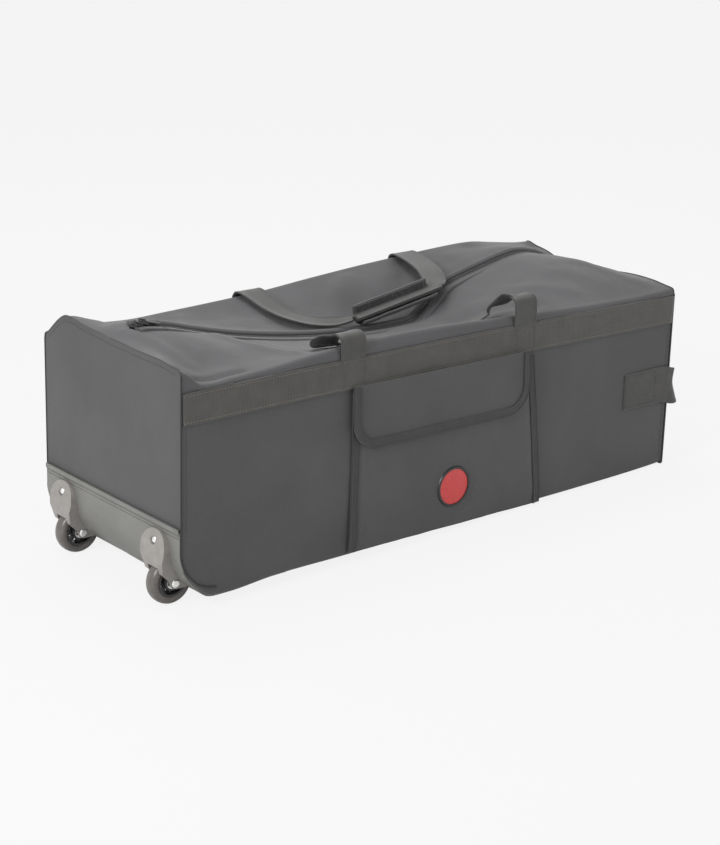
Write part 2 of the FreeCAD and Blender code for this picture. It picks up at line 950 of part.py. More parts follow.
def wheel_pieces(side):
    """Tyre, spoked hub, two bearings, the tube between them, and the axle of one wheel."""
    radius = size("wheel_radius")
    half = size("wheel_width") / 2
    hub = size("hub_radius")
    rim = size("hub_rim")
    boss = size("hub_boss")
    seat = size("bearing_radius")
    step = half - size("bearing_width")
    web = size("hub_web") / 2
    shoulder = seat - size("running_clear") * 50
    bore = size("axle_radius") + size("running_clear")

    body = new_body(f"tyre_{side}")
    sketch = new_sketch(body, f"tyre_{side}_outline", "XY_Plane")
    tread = half * 0.62
    wallside = hub + (radius - hub) * 0.7
    add_polygon(sketch, [
        (hub, -half * 0.92),
        (wallside, -half),
        (radius - half * 0.08, -tread),
        (radius, -half * 0.3),
        (radius, half * 0.3),
        (radius - half * 0.08, tread),
        (wallside, half),
        (hub, half * 0.92),
    ])
    tyre = revolve(body, f"tyre_{side}_turn", sketch, "V_Axis")

    body = new_body(f"hub_{side}")
    sketch = new_sketch(body, f"hub_{side}_outline", "XY_Plane")
    edge = half * 0.92
    add_polygon(sketch, [
        (shoulder, -step), (seat, -step), (seat, -half), (boss, -half), (boss, -web), (rim, -web),
        (rim, -edge), (hub, -edge), (hub, edge), (rim, edge), (rim, web), (boss, web),
        (boss, half), (seat, half), (seat, step), (shoulder, step),
    ])
    revolve(body, f"hub_{side}_turn", sketch, "V_Axis")
    sketch = new_sketch(body, f"hub_{side}_window", "XZ_Plane")
    low = boss + clear * 3
    high = rim - clear * 3
    add_polygon(sketch, [(-low * 0.2, low), (low * 0.2, low), (high * 0.24, high), (-high * 0.24, high)])
    window = pocket(body, f"hub_{side}_window_cut", sketch, half, middle=True)
    pattern = body.newObject("PartDesign::PolarPattern", f"hub_{side}_windows")
    pattern.Originals = [window]
    pattern.Axis = (origin_feature(body, "Y_Axis"), [""])
    pattern.Angle = 360
    drive(pattern, "Occurrences", size("spokes"))
    body.Tip = pattern

    body = new_body(f"bearings_{side}")
    sketch = new_sketch(body, f"bearings_{side}_outline", "XY_Plane")
    recess = clear * 1.5
    race = (seat - bore) / 4
    for way in (-1, 1):
        outline = [
            (bore, step), (seat, step), (seat, half), (seat - race, half), (seat - race, half - recess),
            (bore + race, half - recess), (bore + race, half), (bore, half),
        ]
        add_polygon(sketch, [(a, measure(b) * way) for a, b in outline])
    revolve(body, f"bearings_{side}_turn", sketch, "V_Axis")

    body = new_body(f"bearing_spacer_{side}")
    sketch = new_sketch(body, f"spacer_{side}_outline", "XY_Plane")
    add_polygon(sketch, [(bore, -step), (bore + race, -step), (bore + race, step), (bore, step)])
    revolve(body, f"spacer_{side}_turn", sketch, "V_Axis")

    body = new_body(f"axle_{side}")
    sketch = new_sketch(body, f"axle_{side}_outline", "XY_Plane")
    shaft = size("axle_radius")
    head = shaft * 1.8
    seat_y = size("flank_half") + clear / 2
    add_polygon(sketch, [
        (0, -seat_y - shaft / 2), (head * 0.7, -seat_y - shaft / 2), (head, -seat_y), (shaft, -seat_y),
        (shaft, seat_y), (head, seat_y), (head * 0.7, seat_y + shaft / 2), (0, seat_y + shaft / 2),
    ])
    revolve(body, f"axle_{side}_turn", sketch, "V_Axis")


def wheel_housing(side):
    """Moulded housing: a lobed flange on the corner that swells into two flanks round the wheel."""
    label = f"wheel_housing_{side}"
    top = size("housing_top")
    proud = size("housing_proud")
    flange = size("flange_wall")
    half = size("housing_half")
    well = size("well_radius")
    slot = size("slot_half")
    flank = size("flank_half")
    hold = size("axle_radius") * 2.2
    foot = axle_x + well * 1.75
    outline = [
        (face_x + corner, top),
        (face_x - flange, top),
        (face_x - proud * 0.75, top - proud * 1.6),
        (face_x - proud, axle_z + well * 1.05),
        (face_x - proud * 0.6, axle_z + well * 0.5),
        (axle_x - hold, axle_z + hold * 0.3),
        (axle_x - hold * 0.7, axle_z - hold * 0.8),
        (axle_x + hold * 0.2, axle_z - hold * 1.1),
        (foot - flange * 3, -kick - flange),
        (foot, -kick - flange / 3),
        (foot, corner),
    ]
    body, block = upright_plate(label, outline, -half, half * 2)
    sketch = new_sketch(body, label + "_bag_outline", "XZ_Plane")
    turn_x = -half_length + corner
    add_polygon(sketch, [
        (face_x, corner),
        (turn_x, corner),
        (turn_x, -kick),
        (foot + flange, -kick),
        (foot + flange, top + flange),
        (face_x, top + flange),
    ])
    pocket(body, label + "_bag_cut", sketch, half * 3, middle=True)
    sketch = new_sketch(body, label + "_turn_outline", "XZ_Plane")
    add_circle(sketch, turn_x, corner, corner + kick)
    cut = pocket(body, label + "_turn_cut", sketch, half * 3, middle=True)

    sketch = new_sketch(body, label + "_sides_outline", "YZ_Plane", face_x)
    for way in (-1, 1):
        waist = [
            (flank, -well * 2),
            (flank, axle_z + well * 0.15),
            (half, axle_z + well * 1.25),
            (half, top + flange),
            (half * 2, top + flange),
            (half * 2, -well * 2),
        ]
        add_polygon(sketch, [(a * way, b) for a, b in waist])
    cut = pocket(body, label + "_sides_cut", sketch, corner * 6, middle=True)
    lobes = [{"y": way * half, "z": top} for way in (measure(-1), measure(1))]
    cut = round_edges(body, label + "_lobe", cut, lobes, half * 0.92)
    bends = [{"y": measure(way) * half, "z": axle_z + well * 1.25} for way in (-1, 1)]
    bends += [{"y": measure(way) * flank, "z": axle_z + well * 0.15} for way in (-1, 1)]
    cut = round_edges(body, label + "_waist", cut, bends, half * 0.8)

    sketch = new_sketch(body, label + "_slot_outline", "XZ_Plane")
    add_circle(sketch, axle_x, axle_z, well)
    pocket(body, label + "_slot_cut", sketch, slot * 2, middle=True)
    for way in (-1, 1):
        low = slot - size("wheel_side_clear") + clear
        sketch = new_sketch(body, f"{label}_boss_{way + 1}", "XZ_Plane", low * way)
        add_circle(sketch, axle_x, axle_z, hold * 0.75)
        pad(body, f"{label}_boss_pad_{way + 1}", sketch, slot - low + clear, reverse=way < 0)
    sketch = new_sketch(body, label + "_bore_outline", "XZ_Plane")
    add_circle(sketch, axle_x, axle_z, size("axle_radius") + size("running_clear"))
    pocket(body, label + "_bore", sketch, half * 3, middle=True)
    sketch = new_sketch(body, label + "_rivet_outline", "YZ_Plane", face_x)
    add_circle(sketch, 0, size("rivet_height"), size("rivet_shank") + clear / 2)
    pocket(body, label + "_rivet_hole", sketch, proud * 2, middle=True)
    sketch = new_sketch(body, label + "_seat_outline", "YZ_Plane", face_x - size("rivet_seat"))
    add_circle(sketch, 0, size("rivet_height"), size("rivet_head") + clear * 3)
    pocket(body, label + "_rivet_seat", sketch, proud * 2)


def wheel_well(side):
    """Inner half of the housing: a drum round the wheel where it reaches into the bag."""
    label = f"wheel_well_{side}"
    drum = DOC.addObject("PartDesign::Body", label + "_drum")
    sketch = new_sketch(drum, label + "_outline", "XY_Plane")
    inner = size("well_radius")
    outer = inner + size("well_wall")
    slot = size("slot_half")
    side_wall = slot + size("well_wall")
    eye = size("axle_radius") * 3.4
    add_polygon(sketch, [
        (eye, -side_wall), (outer, -side_wall), (outer, side_wall), (eye, side_wall),
        (eye, slot), (inner, slot), (inner, -slot), (eye, -slot),
    ])
    revolve(drum, label + "_turn", sketch, "V_Axis")
    core = DOC.addObject("Part::Cylinder", label + "_core")
    drive(core, "Radius", corner + kick - clear)
    drive(core, "Height", side_wall * 4)
    turned = FreeCAD.Rotation(FreeCAD.Vector(1, 0, 0), 90)
    centre = FreeCAD.Vector(-number("half_length") + corner.number - axle_x.number, side_wall.number * 2,
                            corner.number - axle_z.number)
    core.Placement = FreeCAD.Placement(centre, turned)
    common = DOC.addObject("Part::MultiCommon", label)
    common.Shapes = [drum, core]
    common.Label = label
    PIECES[label] = common


for side in ("front", "rear"):
    wheel_pieces(side)
    wheel_housing(side)
    wheel_well(side)


def housing_rivets():
    """The domed rivet above each wheel, through housing, sheet, panel and board."""
    body = new_body("housing_rivets")
    sketch = new_sketch(body, "rivet_outline", "XZ_Plane")
    grip = size("rivet_seat") + kick + wall + size("board_wall") + clear
    shank = size("rivet_shank")
    head = size("rivet_head")
    dome = size("rivet_dome")
    profile = [
        (-dome, 0), (grip + shank, 0), (grip + shank, head * 0.7), (grip, head * 0.7), (grip, shank),
        (0, shank), (0, head), (-dome * 0.5, head * 0.8), (-dome * 0.9, head * 0.4),
    ]
    add_polygon(sketch, profile)
    turn = revolve(body, "rivet_turn", sketch, "H_Axis")
    pattern = body.newObject("PartDesign::LinearPattern", "rivet_pair")
    pattern.Originals = [turn]
    pattern.Direction = (origin_feature(body, "Y_Axis"), [""])
    drive(pattern, "Length", size("wheel_track"))
    pattern.Occurrences = 2
    body.Tip = pattern


housing_rivets()


# ---- Grab strap, carrying handles and grip wrap ---------------------------------------------------

def grab_strap():
    """Loop of wide webbing round the strap end, sewn to the front and back panels."""
    half = size("grab_width") / 2
    height = size("grab_height")
    sewn = size("grab_sewn")
    for label, y_low in (("grab_anchor_front", -half_width - strap_wall), ("grab_anchor_back", half_width)):
        outline = rectangle(half_length - sewn, half_length - half + clear, height - half, height + half)
        body, plate = upright_plate(label, outline, y_low, strap_wall)
        sketch = new_sketch(body, label + "_turn_outline", "XZ_Plane")
        add_circle(sketch, half_length, height, half + clear)
        pocket(body, label + "_turn_cut", sketch, size("bag_width") * 2, middle=True)

    body = new_body("grab_loop")
    reach = size("grab_reach")
    out = half_width + clear + strap_wall
    bend = reach * 0.4
    sketch = new_sketch(body, "grab_loop_outline", "XY_Plane", -half)
    outline = []
    for depth, way in ((strap_wall, 1), (measure(0), -1)):
        turn = [
            (-half, -out + (strap_wall if way < 0 else 0)),
            (reach - bend, -out + (strap_wall if way < 0 else 0)),
            (reach - (strap_wall if way < 0 else 0), -out + bend + (strap_wall if way < 0 else 0)),
        ]
        across = turn + [(a, -measure(b)) for a, b in turn[::-1]]
        outline += across if way > 0 else across[::-1]
    add_polygon(sketch, outline)
    loop = pad(body, "grab_loop_pad", sketch, half * 2)
    ends = [{"x": -half, "z": way * half} for way in (measure(-1), measure(1))]
    round_edges(body, "grab_loop_ends", loop, ends, half * 0.99)


grab_strap()


def strap_section(centre, across, normal, width, thickness):
    """Rectangle of a strap's section at one place of its run."""
    across = FreeCAD.Vector(*across).normalize() * (width / 2)
    normal = FreeCAD.Vector(*normal).normalize() * (thickness / 2)
    middle = FreeCAD.Vector(*centre)
    corners = [
        middle - across - normal,
        middle + across - normal,
        middle + across + normal,
        middle - across + normal,
    ]
    return Part.makePolygon(corners + [corners[0]])


def strap_piece(label, run):
    """A strap lofted straight from section to section of its run."""
    feature = DOC.addObject("Part::Feature", label)
    feature.Label = label
    feature.Shape = Part.makeLoft([strap_section(*place) for place in run], True, True)
    PIECES[label] = feature


def handle_leg(place, side, rise, way):
    """The lower end of a handle: up from the band and over the edge of the bag."""
    width = number("webbing_width")
    cloth = number("webbing_wall")
    hinge = number("hinge_out") - cloth / 2
    foot = number("panel_height") + number("seat_gap")
    top = foot + rise
    across = (way, 0, 0)
    return [
        ((place, side * hinge, foot), across, (0, 1, 0), width, cloth),
        ((place, side * hinge, top - rise * 0.25), across, (0, 1, 0), width, cloth),
        ((place, side * (hinge - 7), top - cloth), across, (0, 1, side * 1.2), width, cloth),
        ((place, side * (hinge - 20), top - cloth / 2), across, (0, 0, side), width, cloth),
    ]


def front_handle():
    """Front carrying handle: two legs over the edge and a grip lying behind it."""
    left = number("front_loop_left")
    right = number("front_loop_right")
    turn = number("turn_radius")
    width = number("webbing_width")
    cloth = number("webbing_wall")
    grip_y = -number("front_grip_y")
    grip_z = number("front_grip_z")
    rise = number("front_loop_rise")
    bend = turn * 0.7072
    run = handle_leg(left, -1, rise, 1)
    run += [
        ((left, grip_y - turn, grip_z + rise * 0.6), (1, 0, 0), (0, 0.4, -1), width, cloth),
        ((left + turn - bend, grip_y - turn + bend, grip_z + rise * 0.2), (1, -1, 0), (0.2, 0.2, -1), width, cloth),
        ((left + turn, grip_y, grip_z), (0, -1, 0), (0, 0, -1), width, cloth),
        ((right - turn, grip_y, grip_z), (0, -1, 0), (0, 0, -1), width, cloth),
        ((right - turn + bend, grip_y - turn + bend, grip_z + rise * 0.2), (-1, -1, 0), (-0.2, 0.2, -1), width, cloth),
        ((right, grip_y - turn, grip_z + rise * 0.6), (-1, 0, 0), (0, 0.4, -1), width, cloth),
    ]
    run += handle_leg(right, -1, rise, -1)[::-1]
    strap_piece("front_handle", run)


def rear_handle():
    """Rear carrying handle: longer legs across the top, folded narrow inside the grip wrap."""
    left = number("rear_loop_left")
    right = number("rear_loop_right")
    width = number("webbing_width")
    cloth = number("webbing_wall")
    fold = number("grip_fold")
    start = number("wrap_left")
    length = number("wrap_length")
    tilt = math.radians(number("wrap_tilt"))
    end = start + length * math.cos(tilt)
    low = number("grip_z")
    high = low + length * math.sin(tilt)
    grip_y = number("grip_y")
    top = number("strip_top")
    lean = (-math.sin(tilt), 0, math.cos(tilt))
    run = handle_leg(left, 1, number("rear_loop_rise"), 1)
    run += [
        ((left, 140, top - 5), (1, 0.05, 0), (0, -0.3, 1), width, cloth),
        ((left + 14, 95, top - 14), (1, 0.3, 0), (0, -0.2, 1), width, cloth),
        (((left + start) / 2 + 6, 48, (top + low) / 2 - 6), (1, 1, 0), (0, -0.2, 1), width * 0.9, cloth),
        ((start - 16, grip_y + 4, low - 1), (0.25, 1, 0), (0, 0, 1), fold * 1.3, cloth * 1.6),
        ((start - 3, grip_y, low - 0.3), (0, 1, 0), lean, fold * 0.98, cloth * 1.9),
        ((end + 3, grip_y, high + 0.3), (0, 1, 0), lean, fold * 0.98, cloth * 1.9),
        ((end + 16, grip_y + 4, high + 2), (-0.25, 1, 0), lean, fold * 1.3, cloth * 1.6),
        (((right + end) / 2 - 6, 48, (top + high) / 2 + 1), (-1, 1, 0), (0, 0, 1), width * 0.9, cloth),
        ((right - 12, 95, top), (-1, 0.3, 0), (0, 0, 1), width, cloth),
        ((right, 140, top + 2), (-1, 0.05, 0), (0, 0, 1), width, cloth),
    ]
    run += handle_leg(right, 1, number("rear_loop_rise"), -1)[::-1]
    strap_piece("rear_handle", run)


front_handle()
rear_handle()


def grip_wrap():
    """Sleeve that holds the handles together, and its flap standing open along the top."""
    cloth = size("wrap_wall")
    half = size("grip_fold") / 2
    drop = size("wrap_drop")
    edge = size("webbing_wall") + clear
    back = half + clear + cloth
    outline = [
        (-half - cloth, -drop),
        (back, -drop),
        (back, edge - clear),
        (back - cloth, edge - clear),
        (back - cloth, -drop + cloth),
        (-half, -drop + cloth),
        (-half, -drop + cloth * 2.4),
        (-half - cloth, -drop + cloth * 2.4),
    ]
    cross_plate("grip_wrap", outline, 0, size("wrap_length"))
    outline = rectangle(back - cloth, back, edge, edge + size("wrap_flap"))
    body, plate = cross_plate("wrap_flap", outline, 0, size("wrap_length"))
    tops = [{"x": x, "z": edge + size("wrap_flap")} for x in (0, size("wrap_length"))]
    round_edges(body, "wrap_flap_corners", plate, tops, size("wrap_flap") * 0.4)


grip_wrap()


# ---- Placing, checking and writing ----------------------------------------------------------------

def shifted(across=0, along=0, up=0, turn=0):
    """Place of a piece in the bag's frame, turned about y first."""
    rotation = FreeCAD.Rotation(FreeCAD.Vector(0, 1, 0), turn)
    return FreeCAD.Placement(FreeCAD.Vector(across, along, up), rotation)


def local_places():
    """Where each piece that was drawn in its own frame sits in the bag."""
    places = {}
    half_track = number("wheel_track") / 2
    for side, way in (("front", -1), ("rear", 1)):
        for kind in ("tyre", "hub", "bearings", "bearing_spacer", "axle", "wheel_well"):
            places[f"{kind}_{side}"] = shifted(-number("axle_x"), way * half_track, number("axle_up"))
        places[f"wheel_housing_{side}"] = shifted(0, way * half_track, 0)
    places["housing_rivets"] = shifted(-number("face_x") - number("rivet_seat"), -half_track,
                                       number("rivet_height"))
    for label in ("badge_rim", "badge_disc"):
        places[label] = shifted(number("badge_x"), -number("pocket_face"), number("badge_z"))
    arc = FreeCAD.Vector(number("zip_mid"), 0, number("zip_centre"))
    turns = dict(ARC_BODIES)
    turns["zip_slider"] = arc_turn(-number("slider_rest"))
    for label, turn in turns.items():
        places[label] = shifted(arc.x, arc.y, arc.z, turn)
    places["zip_pull"] = places["zip_slider"].multiply(shifted(0, 0, pull_height().number))
    places["grab_loop"] = shifted(number("half_length"), 0, number("grab_height"), number("grab_droop"))
    for label in ("grip_wrap", "wrap_flap"):
        places[label] = shifted(number("wrap_left"), number("grip_y"), number("grip_z"), -number("wrap_tilt"))
    return places


def place_pieces():
    """Stands the bag on its wheels and its base, centred over the origin."""
    DOC.recompute()
    stand = shifted(0, 0, number("stand_lift"), number("stand_pitch"))
    places = local_places()
    for label, piece in PIECES.items():
        piece.Placement = stand.multiply(places.get(label, FreeCAD.Placement()))
    DOC.recompute()
    box = FreeCAD.BoundBox()
    for piece in PIECES.values():
        box.add(piece.Shape.BoundBox)
    centre = shifted(-(box.XMin + box.XMax) / 2, -(box.YMin + box.YMax) / 2, 0)
    for piece in PIECES.values():
        piece.Placement = centre.multiply(piece.Placement)
    DOC.recompute()
    print("shift", centre.Base, "pitch", number("stand_pitch"), "lift", number("stand_lift"))


def check_pieces():
    """Stops unless every feature was computed and every sub-part is a valid solid."""
    faults = []
    for thing in DOC.Objects:
        if "Invalid" in thing.State or "Error" in thing.State:
            faults.append(f"{thing.Label}: {thing.getStatusString()}")
    for label, piece in PIECES.items():
        shape = piece.Shape
        if shape.isNull() or not shape.isValid() or not shape.Solids:
            faults.append(f"{label} is not a valid solid")
    if faults:
        raise RuntimeError("\n".join(faults))


def write_pieces():
    os.makedirs("parts", exist_ok=True)
    for label, piece in PIECES.items():
        piece.Shape.exportStep(f"parts/{label}.step")


place_pieces()
check_pieces()
write_pieces()
print("pieces", len(PIECES))
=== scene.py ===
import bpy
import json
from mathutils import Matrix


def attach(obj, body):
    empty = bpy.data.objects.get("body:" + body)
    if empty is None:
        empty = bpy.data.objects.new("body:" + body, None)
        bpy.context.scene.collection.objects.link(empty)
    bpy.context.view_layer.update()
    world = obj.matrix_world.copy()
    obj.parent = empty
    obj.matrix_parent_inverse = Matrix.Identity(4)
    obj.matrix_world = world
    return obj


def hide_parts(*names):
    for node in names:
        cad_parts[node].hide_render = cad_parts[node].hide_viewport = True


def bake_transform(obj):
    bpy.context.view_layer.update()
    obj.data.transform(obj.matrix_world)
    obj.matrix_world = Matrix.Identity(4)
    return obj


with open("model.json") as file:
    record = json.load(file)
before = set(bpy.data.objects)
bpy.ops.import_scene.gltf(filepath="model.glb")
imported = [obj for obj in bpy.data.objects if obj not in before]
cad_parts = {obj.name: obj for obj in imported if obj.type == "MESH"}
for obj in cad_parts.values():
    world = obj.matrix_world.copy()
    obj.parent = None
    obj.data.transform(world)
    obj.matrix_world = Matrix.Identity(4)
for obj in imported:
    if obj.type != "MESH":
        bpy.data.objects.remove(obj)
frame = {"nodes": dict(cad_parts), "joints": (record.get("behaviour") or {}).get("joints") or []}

"""Cloth, webbing, zip and finishes of the wheeled kit duffel.

Pieces are drawn in the bag's own frame in millimetres, x along the length with the wheels at -x,
the pocket at -y, z up from the underside of the base.  build() pitches them into the room.
"""
import bisect
import json
import math

import bmesh
import bpy
from mathutils import Matrix, Vector, noise

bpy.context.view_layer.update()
JOINTS = {joint["name"]: joint for joint in frame["joints"]}

# ---- Where the bag stands

lid_line = Vector(JOINTS["front_lid_hinge"]["axis"])
PITCH = math.atan2(lid_line.z, -lid_line.x)
UPRIGHT = Matrix.Rotation(-PITCH, 4, "Y")


def level_box(*nodes):
    """Corners of CAD nodes with the bag's pitch taken out, in metres."""
    points = [UPRIGHT @ v.co for node in nodes for v in frame["nodes"][node].data.vertices]
    low = Vector([min(p[i] for p in points) for i in range(3)])
    high = Vector([max(p[i] for p in points) for i in range(3)])
    return low, high


walls_low, walls_high = level_box("front_panel", "back_panel")
MIDDLE = Vector(((walls_low.x + walls_high.x) / 2, (walls_low.y + walls_high.y) / 2, walls_low.z))
BAG = Matrix.Rotation(PITCH, 4, "Y") @ Matrix.Translation(MIDDLE) @ Matrix.Scale(0.001, 4)


def bag_box(*nodes):
    """Corners of CAD nodes in the bag's frame, in millimetres."""
    low, high = level_box(*nodes)
    return (low - MIDDLE) * 1000, (high - MIDDLE) * 1000


HALF_LENGTH = bag_box("front_panel")[1].x
HALF_WIDTH = bag_box("back_panel")[1].y
BAND_TOP = bag_box("front_band")[1].z
BAND_LOW = bag_box("front_band")[0].z
LID_HALF = bag_box("front_lid")[1].x
KICK_TOP = bag_box("kick_plate")[1].z
KICK_END = bag_box("kick_plate")[1].x
ZIP_STOP = bag_box("zip_end_strap")[1].x
tyre_low, tyre_high = bag_box("tyre_front")
AXLE_X = (tyre_low.x + tyre_high.x) / 2
AXLE_Z = (tyre_low.z + tyre_high.z) / 2
WHEEL_RADIUS = (tyre_high.x - tyre_low.x) / 2
WHEEL_HALF = (tyre_high.y - tyre_low.y) / 2
far_low, far_high = bag_box("tyre_rear")
WHEEL_Y = (far_low.y + far_high.y) / 2
TURN = 70.0  # radius of the base where it turns up at the wheels
TURN_X = -HALF_LENGTH + TURN
ZIP_RADIUS, ZIP_MID, ZIP_LOW = 1695.0, 40.8, 295.6  # the shallow arc that the slider follows
ZIP_SLOT = 13.0  # half width of the slot in the cloth
WELL_HOLE, WELL_SIDE = 44.8, 17.8  # radius and half width of the opening for a wheel
EDGE_ROUND = 9.0  # how far the shoulder of the top rounds in from a wall
SHELL_WALL, TOP_WALL, STRAP_WALL = 2.5, 2.2, 2.6
STRAP_WIDTH = 50
GRAB_HEIGHT = 158.5  # middle of the grab strap where it is sewn to the walls


# ---- Small tools

def eased(share):
    """A share from 0 to 1 that starts and ends gently."""
    share = min(max(share, 0.0), 1.0)
    return share * share * (3 - 2 * share)


def spread(low, high, count):
    """Evenly spaced places from low to high, both included."""
    return [low + (high - low) * i / (count - 1) for i in range(count)]


class Profile:
    """A smooth line through (place, value) pairs, level beyond its ends."""

    def __init__(self, pairs):
        self.places = [float(p) for p, _ in pairs]
        self.values = [float(v) for _, v in pairs]
        last = len(pairs) - 1
        self.slopes = []
        for i in range(last + 1):
            a, b = max(i - 1, 0), min(i + 1, last)
            self.slopes.append((self.values[b] - self.values[a]) / (self.places[b] - self.places[a]))

    def at(self, place):
        if place <= self.places[0]:
            return self.values[0]
        if place >= self.places[-1]:
            return self.values[-1]
        i = bisect.bisect_right(self.places, place) - 1
        step = self.places[i + 1] - self.places[i]
        t = (place - self.places[i]) / step
        a, b = self.values[i], self.values[i + 1]
        p, q = self.slopes[i] * step, self.slopes[i + 1] * step
        leave = (2 * t**3 - 3 * t**2 + 1) * a + (t**3 - 2 * t**2 + t) * p
        return leave + (3 * t**2 - 2 * t**3) * b + (t**3 - t**2) * q


def rumple(x, y, z, size, seed=0.0):
    """Soft random lift of cloth, about -1 to 1, with folds of the given size."""
    return noise.fractal(Vector((x / size + seed, y / size, z / size)), 1.0, 2.1, 3)


def crease(x, y, folds):
    """Sum of straight folds (x0, y0, x1, y1, width, height) at a point of a panel."""
    total = 0.0
    for x0, y0, x1, y1, width, height in folds:
        dx, dy = x1 - x0, y1 - y0
        t = min(max(((x - x0) * dx + (y - y0) * dy) / (dx * dx + dy * dy), 0), 1)
        gap = math.hypot(x - x0 - t * dx, y - y0 - t * dy)
        if gap < width * 3:
            total += height * math.exp(-(gap / width) ** 2)
    return total


# ---- Meshes

class Patch:
    """A sheet of quads given as rows of points, with its real size as UVs in metres."""

    def __init__(self, rows, round_rows=False, skip=None, facing=None):
        self.points = [Vector(p) for row in rows for p in row]
        wide = len(rows[0])
        along = [[0.0] * wide for _ in rows]
        across = [[0.0] * wide for _ in rows]
        for i, row in enumerate(rows):
            for j in range(wide):
                if j:
                    across[i][j] = across[i][j - 1] + (Vector(row[j]) - Vector(row[j - 1])).length / 1000
                if i:
                    along[i][j] = along[i - 1][j] + (Vector(row[j]) - Vector(rows[i - 1][j])).length / 1000
        self.faces, self.coords = [], []
        closing = wide if round_rows else wide - 1
        for i in range(len(rows) - 1):
            for j in range(closing):
                k = (j + 1) % wide
                middle = (Vector(rows[i][j]) + Vector(rows[i + 1][k])) / 2
                if skip and skip(middle):
                    continue
                reach = across[i][k] if k else across[i][j] + 0.002
                further = across[i + 1][k] if k else across[i + 1][j] + 0.002
                self.faces.append([i * wide + j, i * wide + k, (i + 1) * wide + k, (i + 1) * wide + j])
                self.coords.append([
                    (along[i][j], across[i][j]),
                    (along[i][k], reach),
                    (along[i + 1][k], further),
                    (along[i + 1][j], across[i + 1][j]),
                ])
        if facing is not None:
            total = Vector()
            for face in self.faces:
                a, b, c = (self.points[k] for k in face[:3])
                total += (b - a).cross(c - a)
            if total.dot(Vector(facing)) < 0:
                self.turn_over()

    def turn_over(self):
        self.faces = [face[::-1] for face in self.faces]
        self.coords = [coords[::-1] for coords in self.coords]

    def cap(self, indices):
        """Closes an end with one face over the given points."""
        self.faces.append(list(indices))
        self.coords.append([(self.points[i].x / 1000, self.points[i].z / 1000) for i in indices])


def build(name, patches, finishes, rider, stands_for=(), wall=0.0, outward=False, merge=0.0):
    """One piece from patches, placed in the room and riding on a body, or baked in place where it sits on a seam
    between two.
    """
    mesh = bpy.data.meshes.new(name)
    points, faces, coords = [], [], []
    for patch in patches:
        start = len(points)
        points += patch.points
        faces += [[k + start for k in face] for face in patch.faces]
        coords += patch.coords
    mesh.from_pydata([BAG @ p for p in points], [], faces)
    layer = mesh.uv_layers.new(name="UVMap")
    flat = [value for face in coords for pair in face for value in pair]
    layer.data.foreach_set("uv", flat)
    if merge or outward:
        bm = bmesh.new()
        bm.from_mesh(mesh)
        if merge:
            bmesh.ops.remove_doubles(bm, verts=bm.verts, dist=merge / 1000)
        if outward:
            bmesh.ops.recalc_face_normals(bm, faces=bm.faces)
        bm.to_mesh(mesh)
        bm.free()
    mesh.validate()
    mesh.polygons.foreach_set("use_smooth", [True] * len(mesh.polygons))
    for finish in finishes:
        mesh.materials.append(finish)
    piece = bpy.data.objects.new(name, mesh)
    bpy.context.scene.collection.objects.link(piece)
    if wall:
        thick = piece.modifiers.new("wall", "SOLIDIFY")
        thick.thickness = wall / 1000
        thick.offset = -1.0
        thick.use_even_offset = False
        thick.material_offset = len(finishes) - 1
        settle(piece)
        piece.data.set_sharp_from_angle(angle=math.radians(55))
    carry(piece, rider)
    if stands_for:
        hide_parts(*stands_for)
    return piece


def settle(piece):
    """Turns a piece's modifiers into plain mesh."""
    graph = bpy.context.evaluated_depsgraph_get()
    graph.update()
    made = bpy.data.meshes.new_from_object(piece.evaluated_get(graph), preserve_all_data_layers=True,
                                           depsgraph=graph)
    old = piece.data
    piece.modifiers.clear()
    piece.data = made
    bpy.data.meshes.remove(old)


def smooth_run(points, steps):
    """A finer run through the same points, round at each of them."""
    points = [Vector(p) for p in points]
    made = []
    last = len(points) - 1
    for i in range(last):
        before = points[max(i - 1, 0)]
        a, b = points[i], points[i + 1]
        after = points[min(i + 2, last)]
        for k in range(steps):
            t = k / steps
            made.append(0.5 * ((2 * a) + (b - before) * t + (2 * before - 5 * a + 4 * b - after) * t * t
                               + (3 * a - before - 3 * b + after) * t**3))
    made.append(points[last])
    return made


# Section of webbing, in shares of its width and thickness, with a raised edge down each side of its face.
SELVEDGE = [(-0.5, -0.3), (-0.5, 0.3), (-0.485, 0.62), (-0.455, 0.62), (-0.44, 0.5), (-0.2, 0.5), (0.0, 0.5),
            (0.2, 0.5), (0.44, 0.5), (0.455, 0.62), (0.485, 0.62), (0.5, 0.3), (0.5, -0.3), (0.485, -0.5),
            (0.25, -0.5), (0.0, -0.5), (-0.25, -0.5), (-0.485, -0.5)]


def strap_patch(stations, steps=2, section=SELVEDGE):
    """A strap through stations (centre, across, width, thickness), its face to the left of its run."""
    centres = smooth_run([s[0] for s in stations], steps)
    sides = smooth_run([Vector(s[1]).normalized() for s in stations], steps)
    sizes = smooth_run([(s[2], s[3], 0) for s in stations], steps)
    rows = []
    for i, centre in enumerate(centres):
        tangent = (centres[min(i + 1, len(centres) - 1)] - centres[max(i - 1, 0)]).normalized()
        across = (sides[i] - tangent * sides[i].dot(tangent)).normalized()
        normal = across.cross(tangent)
        rows.append([centre + across * (a * sizes[i].x) + normal * (b * sizes[i].y) for a, b in section])
    patch = Patch(rows, round_rows=True)
    wide = len(section)
    patch.cap(list(range(wide))[::-1])
    patch.cap([(len(rows) - 1) * wide + k for k in range(wide)])
    return patch


